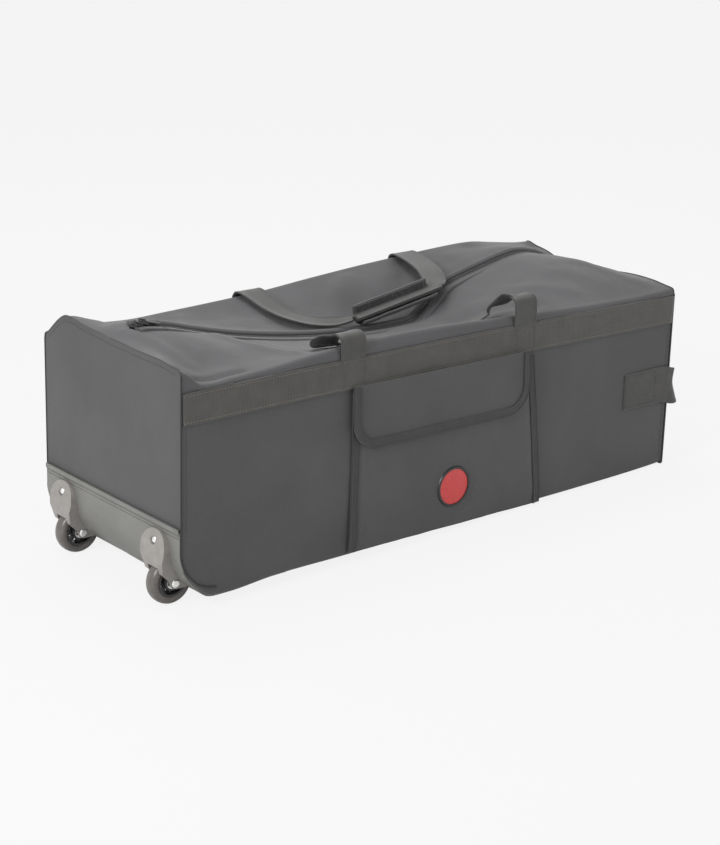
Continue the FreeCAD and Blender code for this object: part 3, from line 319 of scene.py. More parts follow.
def cord_patch(points, radius, sides=8, steps=3):
    """A round cord through points."""
    run = smooth_run(points, steps)
    rows = []
    side = Vector((0, 0, 1))
    for i, centre in enumerate(run):
        tangent = (run[min(i + 1, len(run) - 1)] - run[max(i - 1, 0)]).normalized()
        if abs(tangent.dot(side)) > 0.9:
            side = Vector((0, 1, 0)) if abs(tangent.y) < 0.8 else Vector((1, 0, 0))
        across = (side - tangent * side.dot(tangent)).normalized()
        other = tangent.cross(across)
        side = across
        turns = [k * math.tau / sides for k in range(sides)]
        rows.append([centre + (across * math.cos(a) + other * math.sin(a)) * radius for a in turns])
    patch = Patch(rows, round_rows=True)
    patch.cap(list(range(sides)))
    patch.cap([(len(rows) - 1) * sides + k for k in range(sides)][::-1])
    return patch


def turned_patch(profile, centre, sides=96):
    """A turned piece about the y direction: profile pairs are (radius, along)."""
    turns = [k * math.tau / sides for k in range(sides)]
    rows = [[Vector(centre) + Vector((math.cos(a) * radius, along, math.sin(a) * radius)) for a in turns]
            for radius, along in profile]
    return Patch(rows, round_rows=True)


# ---- Finishes

class Finish:
    """A material and short ways to add its nodes."""

    def __init__(self, name, roughness, metallic=0.0, sheen=0.0, specular=0.5, coat=0.0):
        self.material = bpy.data.materials.new(name)
        self.material.use_nodes = True
        self.nodes = self.material.node_tree.nodes
        self.links = self.material.node_tree.links
        self.shader = next(n for n in self.nodes if n.type == "BSDF_PRINCIPLED")
        for key, value in (("Roughness", roughness), ("Metallic", metallic), ("Sheen Weight", sheen),
                           ("Specular IOR Level", specular), ("Coat Weight", coat)):
            self.shader.inputs[key].default_value = value
        self.place = self.add("ShaderNodeTexCoord").outputs["Object"]
        self.relief = None

    def add(self, kind, **inputs):
        node = self.nodes.new(kind)
        for key, value in inputs.items():
            self.feed(node, key.replace("_", " "), value)
        return node

    def feed(self, node, key, value):
        socket = node.inputs[int(key)] if key.isdigit() else node.inputs[key]
        if isinstance(value, bpy.types.NodeSocket):
            self.links.new(value, socket)
        else:
            socket.default_value = value

    def maths(self, operation, *values):
        node = self.nodes.new("ShaderNodeMath")
        node.operation = operation
        for index, value in enumerate(values):
            self.feed(node, str(index), value)
        return node.outputs[0]

    def grain(self, scale, detail=3.0, rough=0.55):
        node = self.add("ShaderNodeTexNoise", Scale=scale, Detail=detail, Roughness=rough)
        self.links.new(self.place, node.inputs["Vector"])
        return node.outputs["Fac"]

    def colour(self, value, low, high, tone, darkest, lightest):
        """Base colour from the tone times darkest at low to the tone times lightest at high."""
        node = self.nodes.new("ShaderNodeValToRGB")
        for element, position, share in zip(node.color_ramp.elements, (low, high), (darkest, lightest)):
            element.position = position
            element.color = (*(c * share for c in tone), 1)
        self.links.new(value, node.inputs["Fac"])
        self.links.new(node.outputs["Color"], self.shader.inputs["Base Color"])

    def rough(self, value, low, high):
        node = self.add("ShaderNodeMapRange", To_Min=low, To_Max=high)
        self.links.new(value, node.inputs["Value"])
        self.links.new(node.outputs[0], self.shader.inputs["Roughness"])

    def bump(self, height, strength, distance):
        node = self.add("ShaderNodeBump", Strength=strength, Distance=distance)
        self.links.new(height, node.inputs["Height"])
        if self.relief is not None:
            self.links.new(self.relief, node.inputs["Normal"])
        self.relief = node.outputs["Normal"]
        self.links.new(self.relief, self.shader.inputs["Normal"])

    def ribs(self, *pitches):
        """Waves along and across the piece's own UVs."""
        uv = self.add("ShaderNodeUVMap")
        uv.uv_map = "UVMap"
        split = self.nodes.new("ShaderNodeSeparateXYZ")
        self.links.new(uv.outputs[0], split.inputs[0])
        return [self.maths("SINE", self.maths("MULTIPLY", split.outputs[index], math.tau / pitch))
                for index, pitch in enumerate(pitches)]


def woven(name, tone, roughness, pitch=0.0011, sheen=0.15, depth=0.00022, wear=1.0):
    """Coated woven cloth: fine weave, faint slubs, and slow patches where it has been handled."""
    finish = Finish(name, roughness, sheen=sheen, specular=0.35)
    weave = finish.maths("MULTIPLY_ADD", finish.maths("MULTIPLY", *finish.ribs(pitch, pitch)), 0.5)
    slubs = finish.grain(240, 2)
    mixed = finish.maths("MULTIPLY_ADD", finish.grain(5.5, 4), 0.65, finish.maths("MULTIPLY", slubs, 0.35))
    finish.colour(mixed, 0.3, 0.7, tone, 1 - 0.22 * wear, 1 + 0.2 * wear)
    finish.rough(slubs, roughness - 0.06, roughness + 0.08)
    finish.bump(finish.grain(34, 4), 0.35, 0.0009)
    finish.bump(weave, 0.5, depth)
    return finish.material


def webbing(name, tone, roughness=0.62):
    """Heavy woven strap: ribs across, yarns along."""
    finish = Finish(name, roughness, sheen=0.25, specular=0.3)
    ribs, yarns = finish.ribs(0.0030, 0.0036)
    relief = finish.maths("ADD", finish.maths("MULTIPLY", ribs, 0.6), finish.maths("MULTIPLY", yarns, 0.5))
    # The ribs also lighten the colour on their crests and darken it in their grooves: painted shade between the ribs.
    mixed = finish.maths("MULTIPLY_ADD", ribs, 0.06, finish.grain(45, 3))
    finish.colour(mixed, 0.25, 0.75, tone, 0.84, 1.14)
    finish.bump(finish.grain(420, 2), 0.4, 0.0004)
    finish.bump(relief, 0.55, 0.00035)
    return finish.material


def moulded(name, tone, roughness, grain=700, depth=0.00012, specular=0.5, metallic=0.0, scuff=0.12, coat=0.0):
    """Moulded or cast surface with a fine grain and light scuffs."""
    finish = Finish(name, roughness, metallic=metallic, specular=specular, coat=coat)
    finish.colour(finish.grain(60, 5, 0.7), 0.35, 0.7, tone, 1 - scuff, 1 + scuff)
    finish.rough(finish.grain(130, 4), roughness - 0.08, roughness + 0.1)
    finish.bump(finish.grain(grain, 2), 0.4, depth)
    return finish.material


def leathery(name, tone, roughness):
    """Embossed vinyl: small pebbles over a slow unevenness."""
    finish = Finish(name, roughness, specular=0.45)
    cells = finish.add("ShaderNodeTexVoronoi", Scale=520.0)
    finish.links.new(finish.place, cells.inputs["Vector"])
    finish.colour(finish.grain(9, 4), 0.3, 0.7, tone, 0.86, 1.14)
    finish.rough(finish.grain(160, 3), roughness - 0.08, roughness + 0.1)
    finish.bump(finish.grain(40, 3), 0.3, 0.0008)
    finish.bump(cells.outputs["Distance"], 0.45, 0.0003)
    return finish.material


def fuzzy(name, tone):
    """Hook-and-loop tape: a dense pile of tiny hooks."""
    finish = Finish(name, 0.9, sheen=0.4, specular=0.2)
    pile = finish.grain(1500, 2, 0.8)
    clumps = finish.grain(320, 3, 0.7)
    mixed = finish.maths("MULTIPLY", pile, clumps)
    # The colour follows the pile's height, lighter on its high tips and darker in its hollows: painted highlight and
    # shade in the pile.
    finish.colour(mixed, 0.16, 0.38, tone, 0.4, 2.3)
    finish.bump(mixed, 1.0, 0.0016)
    return finish.material


CLOTH = woven("coated_cloth", (0.057, 0.057, 0.058), 0.66)
# The top's cloth is the wall cloth made a little lighter: the lighter tone is painted light where the top faces up.
LIT_TOP_CLOTH = woven("coated_cloth_top_painted_light", (0.063, 0.0625, 0.066), 0.58)
LINING = woven("lining_cloth", (0.035, 0.035, 0.037), 0.55, pitch=0.0008, wear=0.4)
WEBBING = webbing("webbing_flat", (0.054, 0.0525, 0.049))
HANDLE = webbing("webbing_handle", (0.043, 0.042, 0.040))
TAPE = webbing("binding_tape", (0.026, 0.0255, 0.0255))
# Near black, far darker than the cloth and than the cord over the top and behind: partly the cord's own dark tone,
# partly painted shade in the front corner seam.
PIPING = moulded("piping_cord", (0.012, 0.012, 0.013), 0.6, grain=900, depth=0.0002)
VINYL = leathery("kick_vinyl", (0.152, 0.151, 0.142), 0.46)
BOARD = moulded("pressed_board", (0.10, 0.075, 0.05), 0.85, grain=300, depth=0.0004)
HOUSING = moulded("housing_plastic", (0.235, 0.222, 0.21), 0.38)
WELL = moulded("well_plastic", (0.02, 0.02, 0.021), 0.5)
TYRE = moulded("tyre_rubber", (0.108, 0.098, 0.092), 0.3, grain=420, depth=0.0002, scuff=0.2)
HUB = moulded("hub_plastic", (0.028, 0.028, 0.03), 0.28)
STEEL = moulded("bright_steel", (0.78, 0.78, 0.77), 0.22, metallic=1.0, depth=0.00003, scuff=0.05)
DARK_METAL = moulded("slider_metal", (0.11, 0.11, 0.115), 0.34, metallic=1.0, depth=0.00004)
COIL = moulded("zip_coil", (0.03, 0.03, 0.031), 0.4)
ZIP_TAPE = webbing("zip_tape", (0.03, 0.03, 0.03))
HOOKS = fuzzy("hook_pile", (0.02, 0.02, 0.021))
THREAD = moulded("fawn_thread", (0.17, 0.148, 0.12), 0.7, grain=2500, depth=0.0002)
DARK_THREAD = moulded("grey_thread", (0.07, 0.068, 0.066), 0.7, grain=2500, depth=0.0002)
RED = moulded("badge_red", (0.50, 0.022, 0.02), 0.28, scuff=0.06, coat=0.4)
BLACK = moulded("badge_black", (0.012, 0.012, 0.012), 0.35, scuff=0.1)

# ---- Shape of the bag

ZIP_LIFT = Profile([(-535, -34), (-512, -16), (-494, -9), (-474, -3), (-430, 2), (-385, 2), (-287, 0), (85, 0),
                    (125, 12), (172, 27), (200, 31), (300, 38), (380, 38), (440, 16), (492, -19), (535, -44)])
ZIP_DRIFT = Profile([(85, 0), (125, 18), (200, 50), (300, 60), (380, 60), (440, 62), (500, 66), (535, 68)])

# Height of the top cloth from the edge inward to the zip, at places along the bag.
PLACES = [-535, -518, -498, -470, -440, -380, -310, -220, -110, 0, 110, 200, 300, 380, 440, 500, 535]
FRONT_TOP = [
    [357, 348, 331, 327, 329, 332, 338, 344, 348, 346, 341, 337, 334, 332, 331, 332, 334],
    [361, 356, 344, 335, 334, 335, 334, 327, 318, 315, 317, 333, 350, 356, 353, 346, 340],
    [361, 360, 356, 352, 350, 345, 335, 317, 303, 300, 305, 330, 357, 371, 366, 348, 334],
    [362, 364, 366, 367, 363, 351, 334, 314, 301, 296, 303, 328, 356, 372, 366, 345, 330],
]
REAR_TOP = [
    [330, 334, 338, 337, 332, 328, 330, 333, 338, 347, 355, 360, 365, 366, 358, 350, 348],
    [369, 366, 359, 350, 341, 331, 323, 320, 324, 330, 340, 350, 361, 364, 360, 350, 343],
    [368, 368, 366, 362, 352, 339, 326, 315, 309, 308, 321, 340, 357, 367, 362, 345, 335],
    [365, 369, 373, 371, 361, 345, 328, 313, 301, 297, 309, 333, 353, 366, 360, 338, 326],
]
FRONT_LINES = [Profile(list(zip(PLACES, row))) for row in FRONT_TOP]
REAR_LINES = [Profile(list(zip(PLACES, row))) for row in REAR_TOP]
KNOTS = [0.0, 0.28, 0.55, 0.8, 1.0]
EDGE_Y = HALF_WIDTH - EDGE_ROUND

FRONT_FOLDS = [
    (-522, -168, -408, -172, 7, -10),
    (-352, -26, -292, -150, 16, 5),
    (-300, -40, -250, -150, 18, -4),
    (-180, -60, -120, -150, 20, 3),
    (250, -60, 330, -140, 22, 3),
    (430, -40, 500, -150, 20, 3),
    (120, -60, 240, -150, 18, -4),
    (-500, -20, -470, -120, 14, 3),
]
REAR_FOLDS = [
    (-500, 60, -440, 150, 16, -4),
    (-380, 40, -300, 150, 22, 3),
    (-200, 30, -150, 150, 22, 4),
    (-60, 50, 60, 160, 22, 4),
    (120, 80, 200, 170, 20, -4),
    (300, 80, 360, 160, 22, -3),
    (470, 90, 520, 160, 16, -5),
]


def zip_line(x):
    """Middle of the zip at a place along the bag."""
    arc = ZIP_LOW + ZIP_RADIUS - math.sqrt(ZIP_RADIUS**2 - (x - ZIP_MID) ** 2)
    return ZIP_DRIFT.at(x), arc + ZIP_LIFT.at(x)


def top_point(x, side, share):
    """Point of the top cloth: share 0 is the outer edge and 1 the middle of the zip."""
    zip_y, zip_z = zip_line(x)
    lines = FRONT_LINES if side < 0 else REAR_LINES
    heights = [line.at(x) for line in lines] + [zip_z]
    z = Profile(list(zip(KNOTS, heights))).at(share)
    y = side * EDGE_Y * (1 - share) + zip_y * share
    loose = math.sin(math.pi * min(max(share, 0), 1)) ** 0.7
    z += crease(x, y, FRONT_FOLDS if side < 0 else REAR_FOLDS) * eased(loose * 1.6)
    z += loose * 2.2 * rumple(x, y, 0, 85, 3.0)
    return Vector((x, y, z))


def edge_height(x, side):
    """Height of the outer edge of the top cloth."""
    return (FRONT_LINES if side < 0 else REAR_LINES)[0].at(x)


def wall_y(x, z, side):
    """Outer face of the front or back wall, softly bellied and uneven."""
    up = min(max(z / BAND_TOP, 0), 1)
    belly = math.sin(math.pi * up) ** 0.8 if up < 1 else 0.0
    ends = 1 - (abs(x) / HALF_LENGTH) ** 8
    uneven = 2.0 * rumple(x, side * 50, z * 0.45, 120, 7.0 * side) * belly * ends
    return side * (HALF_WIDTH + 3.2 * belly * ends + uneven)


SAG = Profile([(-535, 0), (-505, 8), (-480, 17), (-430, 19), (-350, 13), (-209, 12), (0, 8), (215, 6), (400, 3),
               (500, 0), (535, -2)])


def base_z(x, y=0.0):
    """Underside of the bag, turned up round the wheel-end corner."""
    z = TURN - math.sqrt(max(TURN**2 - (TURN_X - x) ** 2, 0)) if x < TURN_X else 0.0
    flat = 1 - (abs(y) / HALF_WIDTH) ** 2
    return z - SAG.at(x) + 1.5 * flat * rumple(x, y, 0, 110, 11.0) * eased((x + HALF_LENGTH) / 60)


def foot_bend(x):
    """Radius of the edge between a wall and the base."""
    return 2 + 9 * eased((x + HALF_LENGTH) / 90)


def end_bulge(y, z, low, high):
    """How far an end panel stands out at a point, from 0 at its seams to 1 in its middle."""
    across = max(1 - (abs(y) / HALF_WIDTH) ** 2, 0) ** 0.7
    up = min(max((z - low) / (high - low), 0), 1)
    return across * math.sin(math.pi * up) ** 0.7 if 0 < up < 1 else 0.0


def wheel_end_x(y, z):
    uneven = 1.2 * rumple(0, y, z, 90, 5) * end_bulge(y, z, 90, 380)
    return -HALF_LENGTH - 4.5 * end_bulge(y, z, 96, 372) - uneven


def strap_end_x(y, z):
    bulge = end_bulge(y, z, 0, 350)
    return HALF_LENGTH + 5.0 * bulge + 1.5 * rumple(50, y, z, 90, 9) * bulge


def top_section(x, side, inner):
    """From the seam at the band, up the upstand, over the shoulder and in to the zip."""
    edge = edge_height(x, side)
    rise = edge - BAND_TOP
    row = []
    for share in spread(0, 1, 6)[:-1]:
        z = BAND_TOP + 0.4 + (rise - 8) * share
        row.append(Vector((x, side * (HALF_WIDTH + 0.8 * math.sin(math.pi * share)), z)))
    for k in range(6):
        angle = math.radians(90 * k / 6)
        row.append(Vector((x, side * (EDGE_Y + EDGE_ROUND * math.cos(angle)), edge - 8 + 8 * math.sin(angle))))
    zip_y, _ = zip_line(x)
    reach = 1 - inner / (EDGE_Y - side * zip_y)
    return row + [top_point(x, side, share) for share in spread(0, reach, 30)]


def in_well(point):
    """Inside the opening for a wheel."""
    return abs(abs(point.y) - WHEEL_Y) < WELL_SIDE and near_axle(point.x, point.z)


def near_axle(x, z):
    """Within the radius of the opening round the axles."""
    return math.hypot(x - AXLE_X, z - AXLE_Z) < WELL_HOLE


def well_place(profile, low, high):
    """Place between low and high where a run of points enters the opening for a wheel."""
    for _ in range(40):
        middle = (low + high) / 2
        if near_axle(*profile(middle)):
            low = middle
        else:
            high = middle
    return (low + high) / 2


WELL_EDGES = sorted(way * (WHEEL_Y + beside) for way in (-1, 1) for beside in (-WELL_SIDE, WELL_SIDE))


def with_places(samples, extra, gap):
    """Samples with extra places put in and near neighbours dropped."""
    kept = [s for s in samples if all(abs(s - e) > gap for e in extra)]
    return sorted(kept + list(extra))


def end_cloth(name, x, ends, low, count, node):
    """Panel that closes one end of the bag, from the base up to the top cloth."""
    rows = []
    for y in spread(-HALF_WIDTH, HALF_WIDTH, 44):
        rows.append([Vector((ends(y, z), y, z)) for z in spread(low(y), end_top(x, y), count)])
    build(name, [Patch(rows, facing=(x, 0, 0))], [CLOTH, LINING], "shell", [node], wall=SHELL_WALL)


def shell():
    """Walls and base as one lofted trough, the two end panels, and the fixed ends of the top."""
    corner = [TURN_X - TURN * math.sin(math.radians(a)) for a in range(90, 0, -6)]
    xs = corner + spread(TURN_X, HALF_LENGTH - 24, 118) + [HALF_LENGTH - 12, HALF_LENGTH - 5, HALF_LENGTH]
    well_x = well_place(lambda x: (x, base_z(x)), AXLE_X + 10, AXLE_X + 60)
    well_start = well_place(lambda t: (TURN_X - TURN * math.sin(t), TURN - TURN * math.cos(t)), math.radians(60),
                            math.radians(89))
    xs = with_places(xs, [well_x, TURN_X - TURN * math.sin(well_start)], 1.0)
    ys = with_places(spread(-HALF_WIDTH + 16, HALF_WIDTH - 16, 34), WELL_EDGES, 4)
    bends = [math.radians(angle) for angle in (15, 30, 45, 60, 75)]
    rows = []
    for x in xs:
        bend = foot_bend(x)
        low = base_z(x, -HALF_WIDTH) + bend
        front, back = wall_y(x, low, -1), wall_y(x, low, 1)
        row = [Vector((x, wall_y(x, z, -1), z)) for z in spread(BAND_TOP, low, 34)]
        row += [Vector((x, front + bend * (1 - math.cos(a)), low - bend * math.sin(a))) for a in bends]
        row += [Vector((x, y, base_z(x, y))) for y in ys]
        row += [Vector((x, back - bend * (1 - math.cos(a)), low - bend * math.sin(a))) for a in bends[::-1]]
        row += [Vector((x, wall_y(x, z, 1), z)) for z in spread(low, BAND_TOP, 34)]
        rows.append(row)
    trough = Patch(rows, skip=in_well)
    a, b, c = (trough.points[k] for k in trough.faces[10][:3])
    if (b - a).cross(c - a).y > 0:
        trough.turn_over()
    build("shell_walls", [trough], [CLOTH, LINING], "shell",
          ["front_panel", "back_panel", "base_panel"], wall=SHELL_WALL)
    end_cloth("wheel_end_cloth", -HALF_LENGTH, wheel_end_x, lambda y: TURN - 2, 40, "wheel_end_panel")
    end_cloth("strap_end_cloth", HALF_LENGTH, strap_end_x, lambda y: base_z(HALF_LENGTH, y), 44, "strap_end_panel")
    for name, low, high, node in (("wheel_end_crown", -HALF_LENGTH, -LID_HALF - 0.2, "wheel_end_top"),
                                  ("strap_end_crown", LID_HALF + 0.2, HALF_LENGTH, "strap_end_top")):
        patches = [Patch([top_section(x, side, zip_gap(x)) for x in spread(low, high, 26)], facing=(0, side, 1))
                   for side in (-1, 1)]
        build(name, patches, [LIT_TOP_CLOTH, LINING], "shell", [node], wall=TOP_WALL)


def zip_gap(x):
    """Half width of the slot that the top cloth leaves for the zip."""
    return ZIP_SLOT * (1 - eased((abs(x) - ZIP_STOP + 2) / 10))


def end_top(x, y):
    """Height of the top cloth over an end panel."""
    side = -1 if y < zip_line(x)[0] else 1
    if abs(y) > EDGE_Y:
        over = (abs(y) - EDGE_Y) / EDGE_ROUND
        return edge_height(x, side) - 8 + 8 * math.sqrt(max(1 - over * over, 0))
    inward = EDGE_Y - abs(y) if side * y > 0 else EDGE_Y + abs(y)
    return top_point(x, side, inward / (EDGE_Y - side * zip_line(x)[0])).z


def lids():
    """The two swinging halves of the top, each drawn from its seam at the band up to the zip."""
    for side, node in ((-1, "front_lid"), (1, "rear_lid")):
        rows = [top_section(x, side, ZIP_SLOT) for x in spread(-LID_HALF, LID_HALF, 150)]
        build(node + "_cloth", [Patch(rows, facing=(0, side, 1))], [LIT_TOP_CLOTH, LINING], node + "_foot",
              [node], wall=TOP_WALL)


# Seams where cloth turns: the two bodies it joins, and where the bend starts and ends.
BENDS = {
    "front_lid_foot": ("shell", "front_lid", (0, 0, 330), (0, 0, 345)),
    "rear_lid_foot": ("shell", "rear_lid", (0, 0, 330), (0, 0, 345)),
    "front_handle_foot": ("front_lid", "front_handle", (0, 0, 322), (0, 0, 336)),
    "rear_handle_foot": ("rear_lid", "rear_handle", (0, 0, 322), (0, 0, 336)),
    "flap_hinge": ("shell", "pocket_flap", (0, 0, 279), (0, 0, 262)),
    "grab_hinge": ("shell", "grab_loop", (502, 0, GRAB_HEIGHT), (545, 0, GRAB_HEIGHT)),
}


def carry(piece, rider):
    """Rides on a body; a piece on a seam between two bodies only has its placement baked into its mesh."""
    if rider in BENDS:
        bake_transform(piece)
    else:
        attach(piece, rider)


# ---- Stitches and coil

SEAMS = {}


def seam(points, rider="shell", thread="fawn"):
    """Remembers a line of stitching to be sewn at the end."""
    SEAMS.setdefault((thread, rider), []).append([Vector(p) for p in points])


def sewn_tree():
    """Beads of a given size set along every line of a wire mesh."""
    tree = bpy.data.node_groups.new("beads_along_lines", "GeometryNodeTree")
    face = tree.interface
    face.new_socket("Geometry", in_out="INPUT", socket_type="NodeSocketGeometry")
    names = {}
    for name, value in (("Pitch", 0.005), ("Length", 0.0036), ("Width", 0.0009), ("Height", 0.0008)):
        socket = face.new_socket(name, in_out="INPUT", socket_type="NodeSocketFloat")
        socket.default_value = value
        names[name] = socket.identifier
    socket = face.new_socket("Finish", in_out="INPUT", socket_type="NodeSocketMaterial")
    names["Finish"] = socket.identifier
    face.new_socket("Geometry", in_out="OUTPUT", socket_type="NodeSocketGeometry")
    given, lines, spaced, bead, size, shaped, along, turned, placed, real, finish, smooth, out = (
        tree.nodes.new(kind) for kind in (
            "NodeGroupInput", "GeometryNodeMeshToCurve", "GeometryNodeResampleCurve", "GeometryNodeMeshUVSphere",
            "ShaderNodeCombineXYZ", "GeometryNodeTransform", "GeometryNodeInputTangent",
            "FunctionNodeAlignRotationToVector", "GeometryNodeInstanceOnPoints", "GeometryNodeRealizeInstances",
            "GeometryNodeSetMaterial", "GeometryNodeSetShadeSmooth", "NodeGroupOutput"))
    spaced.mode = "LENGTH"
    for key, value in (("Segments", 6), ("Rings", 4), ("Radius", 0.5)):
        bead.inputs[key].default_value = value
    turned.axis = "X"
    for source, output, target, key in (
            (given, "Geometry", lines, "Mesh"), (lines, "Curve", spaced, "Curve"), (given, "Pitch", spaced, "Length"),
            (given, "Length", size, "X"), (given, "Width", size, "Y"), (given, "Height", size, "Z"),
            (bead, "Mesh", shaped, "Geometry"), (size, 0, shaped, "Scale"), (along, 0, turned, "Vector"),
            (spaced, "Curve", placed, "Points"), (shaped, "Geometry", placed, "Instance"),
            (turned, "Rotation", placed, "Rotation"), (placed, "Instances", real, "Geometry"),
            (real, "Geometry", smooth, "Geometry"), (smooth, "Geometry", finish, "Geometry"),
            (given, "Finish", finish, "Material"), (finish, "Geometry", out, "Geometry")):
        tree.links.new(source.outputs[output], target.inputs[key])
    return tree, names


BEADS, BEAD_INPUTS = sewn_tree()


def beads(name, lines, finish, pitch, length, width, height, rider):
    """Runs the bead tree along lines and keeps the result as one plain piece."""
    mesh = bpy.data.meshes.new(name)
    points, edges = [], []
    for line in lines:
        start = len(points)
        points += [BAG @ Vector(p) for p in line]
        edges += [(start + i, start + i + 1) for i in range(len(line) - 1)]
    mesh.from_pydata(points, edges, [])
    piece = bpy.data.objects.new(name, mesh)
    bpy.context.scene.collection.objects.link(piece)
    grown = piece.modifiers.new("beads", "NODES")
    grown.node_group = BEADS
    for key, value in (("Pitch", pitch), ("Length", length), ("Width", width), ("Height", height)):
        grown[BEAD_INPUTS[key]] = value / 1000
    grown[BEAD_INPUTS["Finish"]] = finish
    settle(piece)
    if not piece.data.materials:
        piece.data.materials.append(finish)
    carry(piece, rider)
    return piece


# Each thread's finish, then the pitch, length and width of its stitches.
THREADS = {"fawn": (THREAD, 5.6, 3.9, 1.35), "grey": (DARK_THREAD, 4.2, 3.2, 0.8)}


def sew():
    """Sews every remembered seam, one piece for each thread and body."""
    for (thread, rider), lines in SEAMS.items():
        finish, pitch, length, width = THREADS[thread]
        beads(f"stitches_{thread}_{rider}", lines, finish, pitch, length, width, width, rider)


# ---- Bands, seams and kick plate

def band_frame(x, side):
    """Middle of the band on a wall and the direction down its width."""
    lift = 4 * (1 - (x / HALF_LENGTH) ** 2)
    top = Vector((x, wall_y(x, BAND_TOP, side), BAND_TOP + lift))
    low = Vector((x, wall_y(x, BAND_LOW, side), BAND_LOW + lift))
    return (top + low) / 2 + Vector((0, side * 1.7, 0)), (low - top).normalized()


def bands():
    """Webbing along the top of both walls, with a row of stitches near each edge."""
    edge_row = 21.2
    for side, name, node in ((-1, "front_band_webbing", "front_band"), (1, "back_band_webbing", "back_band")):
        stations = []
        for x in spread(-HALF_LENGTH + 2, HALF_LENGTH - 1, 60):
            middle, down = band_frame(x, side)
            pull = 0.6 * rumple(x, side * 30, 0, 60, 21.0)
            stations.append((middle + Vector((0, side * abs(pull) * 0.8, pull)), down * -side, STRAP_WIDTH, 2.4))
        build(name, [strap_patch(stations[::-side], steps=3)], [WEBBING], "shell", [node])
        for offset in (-edge_row, edge_row):
            line = []
            for x in spread(-HALF_LENGTH + 5, HALF_LENGTH - 4, 90):
                middle, down = band_frame(x, side)
                line.append(middle + down * offset + Vector((0, side * 1.5, 0)))
            seam(line)


def bar_tack(x, side, half=21):
    """Box of stitching where a handle is caught under the band."""
    for across in (-half, half):
        middle, down = band_frame(x + across, side)
        line = [middle + down * down_by + Vector((0, side * 1.5, 0)) for down_by in spread(-20, 20, 6)]
        seam(line, thread="grey")
        seam([p + Vector((2.2, 0, 0)) for p in line], thread="grey")


THICK_CORD, THIN_CORD = 1.5, 1.0


def piping():
    """Corded seam round each end: thick down the front corner and under, thin over the top and behind."""
    thick, thin = [], []
    for way in (-1, 1):
        x = way * (HALF_LENGTH + 0.6)
        for side, kept, radius in ((-1, thick, THICK_CORD), (1, thin, THIN_CORD)):
            y = side * (HALF_WIDTH + 0.9)
            if way < 0:
                reach = TURN + 1.0
                turns = [math.radians(angle) for angle in spread(4, 84, 8)]
                leg = [(TURN_X - reach * math.sin(a), y, TURN - reach * math.cos(a)) for a in turns]
            else:
                leg = [(x, side * (HALF_WIDTH + 0.7), base_z(HALF_LENGTH) + 3), (x, y, 40)]
            edge = edge_height(way * HALF_LENGTH, side)
            leg += [(x, y, z) for z in spread(TURN + 6, edge - 10, 10)]
            kept.append(cord_patch(leg, radius))
            over = [(x, side * (HALF_WIDTH + 0.6), edge - 11)]
            over += [(x, side * (EDGE_Y + 9.3 * math.cos(a)), edge - 8 + 8.6 * math.sin(a))
                     for a in (math.radians(30), math.radians(65))]
            over += [(x, y * side, end_top(way * HALF_LENGTH, y * side) + 0.5) for y in spread(EDGE_Y - 4, 0, 12)]
            thin.append(cord_patch(over, THIN_CORD))
    foot = [(HALF_LENGTH + 0.6, y, base_z(HALF_LENGTH, y) + 1.0) for y in spread(-HALF_WIDTH, HALF_WIDTH, 12)]
    thick.append(cord_patch(foot, THICK_CORD))
    # The thick cord's near-black colour is partly painted shade in the front corner seam and under the foot.
    build("corner_piping_cord", thick, [PIPING], "shell", ["corner_piping"])
    build("top_seam_cord", thin, [TAPE], "shell")
    for side in (-1, 1):
        for x, heights in ((-HALF_LENGTH + 9, spread(96, 262, 24)), (HALF_LENGTH - 9, spread(20, 262, 30))):
            seam([(x, wall_y(x, z, side) + side * 0.3, z) for z in heights], thread="grey")
    for way, ends in ((-1, wheel_end_x), (1, strap_end_x)):
        line = [(y, end_top(way * HALF_LENGTH, y) - 9) for y in spread(-EDGE_Y + 4, EDGE_Y - 4, 40)]
        seam([(ends(y, z) + way * 0.3, y, z) for y, z in line], thread="grey")


KICK_WALL = 2.5


def kick_path(y):
    """Outer line of the kick plate from its hem on the wheel end down and along under the bag."""
    run = [(-HALF_LENGTH - KICK_WALL, z) for z in spread(KICK_TOP - 1, TURN, 7)]
    for angle in spread(86, 2, 22):
        a = math.radians(angle)
        lift = base_z(TURN_X - TURN * math.sin(a), y) - (TURN - TURN * math.cos(a))
        run.append((TURN_X - (TURN + KICK_WALL) * math.sin(a), TURN - (TURN + KICK_WALL) * math.cos(a) + lift))
    return run + [(x, base_z(x, y) - KICK_WALL) for x in spread(TURN_X + 4, KICK_END, 36)]


def kick_plate():
    """Vinyl over the foot of the wheel end, drawn in where the foot is round, with a hem on the end panel."""
    path = kick_path(0.0)
    ys = with_places(spread(-HALF_WIDTH + 1, HALF_WIDTH - 1, 40), WELL_EDGES, 4)
    lines = [kick_path(y) for y in ys]
    rows = []
    for index, (along, height) in enumerate(path):
        row = []
        bend = foot_bend(along) if height < TURN / 2 else 0.0
        for y, line in zip(ys, lines):
            x, z = line[index]
            outside = max(abs(y) - WELL_EDGES[-1], 0) / (HALF_WIDTH - 1 - WELL_EDGES[-1])
            row.append(Vector((x - 0.5 * rumple(x, y, z, 40, 31), y - math.copysign(bend * outside, y), z)))
        rows.append(row)
    build("kick_cloth", [Patch(rows, skip=in_well, facing=(-1, 0, -1))], [VINYL, LINING], "shell",
          ["kick_plate"], wall=TOP_WALL)
    hem = [((-HALF_LENGTH - 3.6, y, KICK_TOP + 0.5), (0, 0, -1), 7.5, 3.4)
           for y in spread(-HALF_WIDTH + 2, HALF_WIDTH - 2, 12)]
    build("kick_hem", [strap_patch(hem[::-1])], [VINYL], "shell")
    for z in (KICK_TOP - 6.5, KICK_TOP - 11.5):
        seam([(-HALF_LENGTH - 2.9, y, z) for y in spread(-HALF_WIDTH + 4, HALF_WIDTH - 4, 30)], thread="grey")


# ---- Pocket

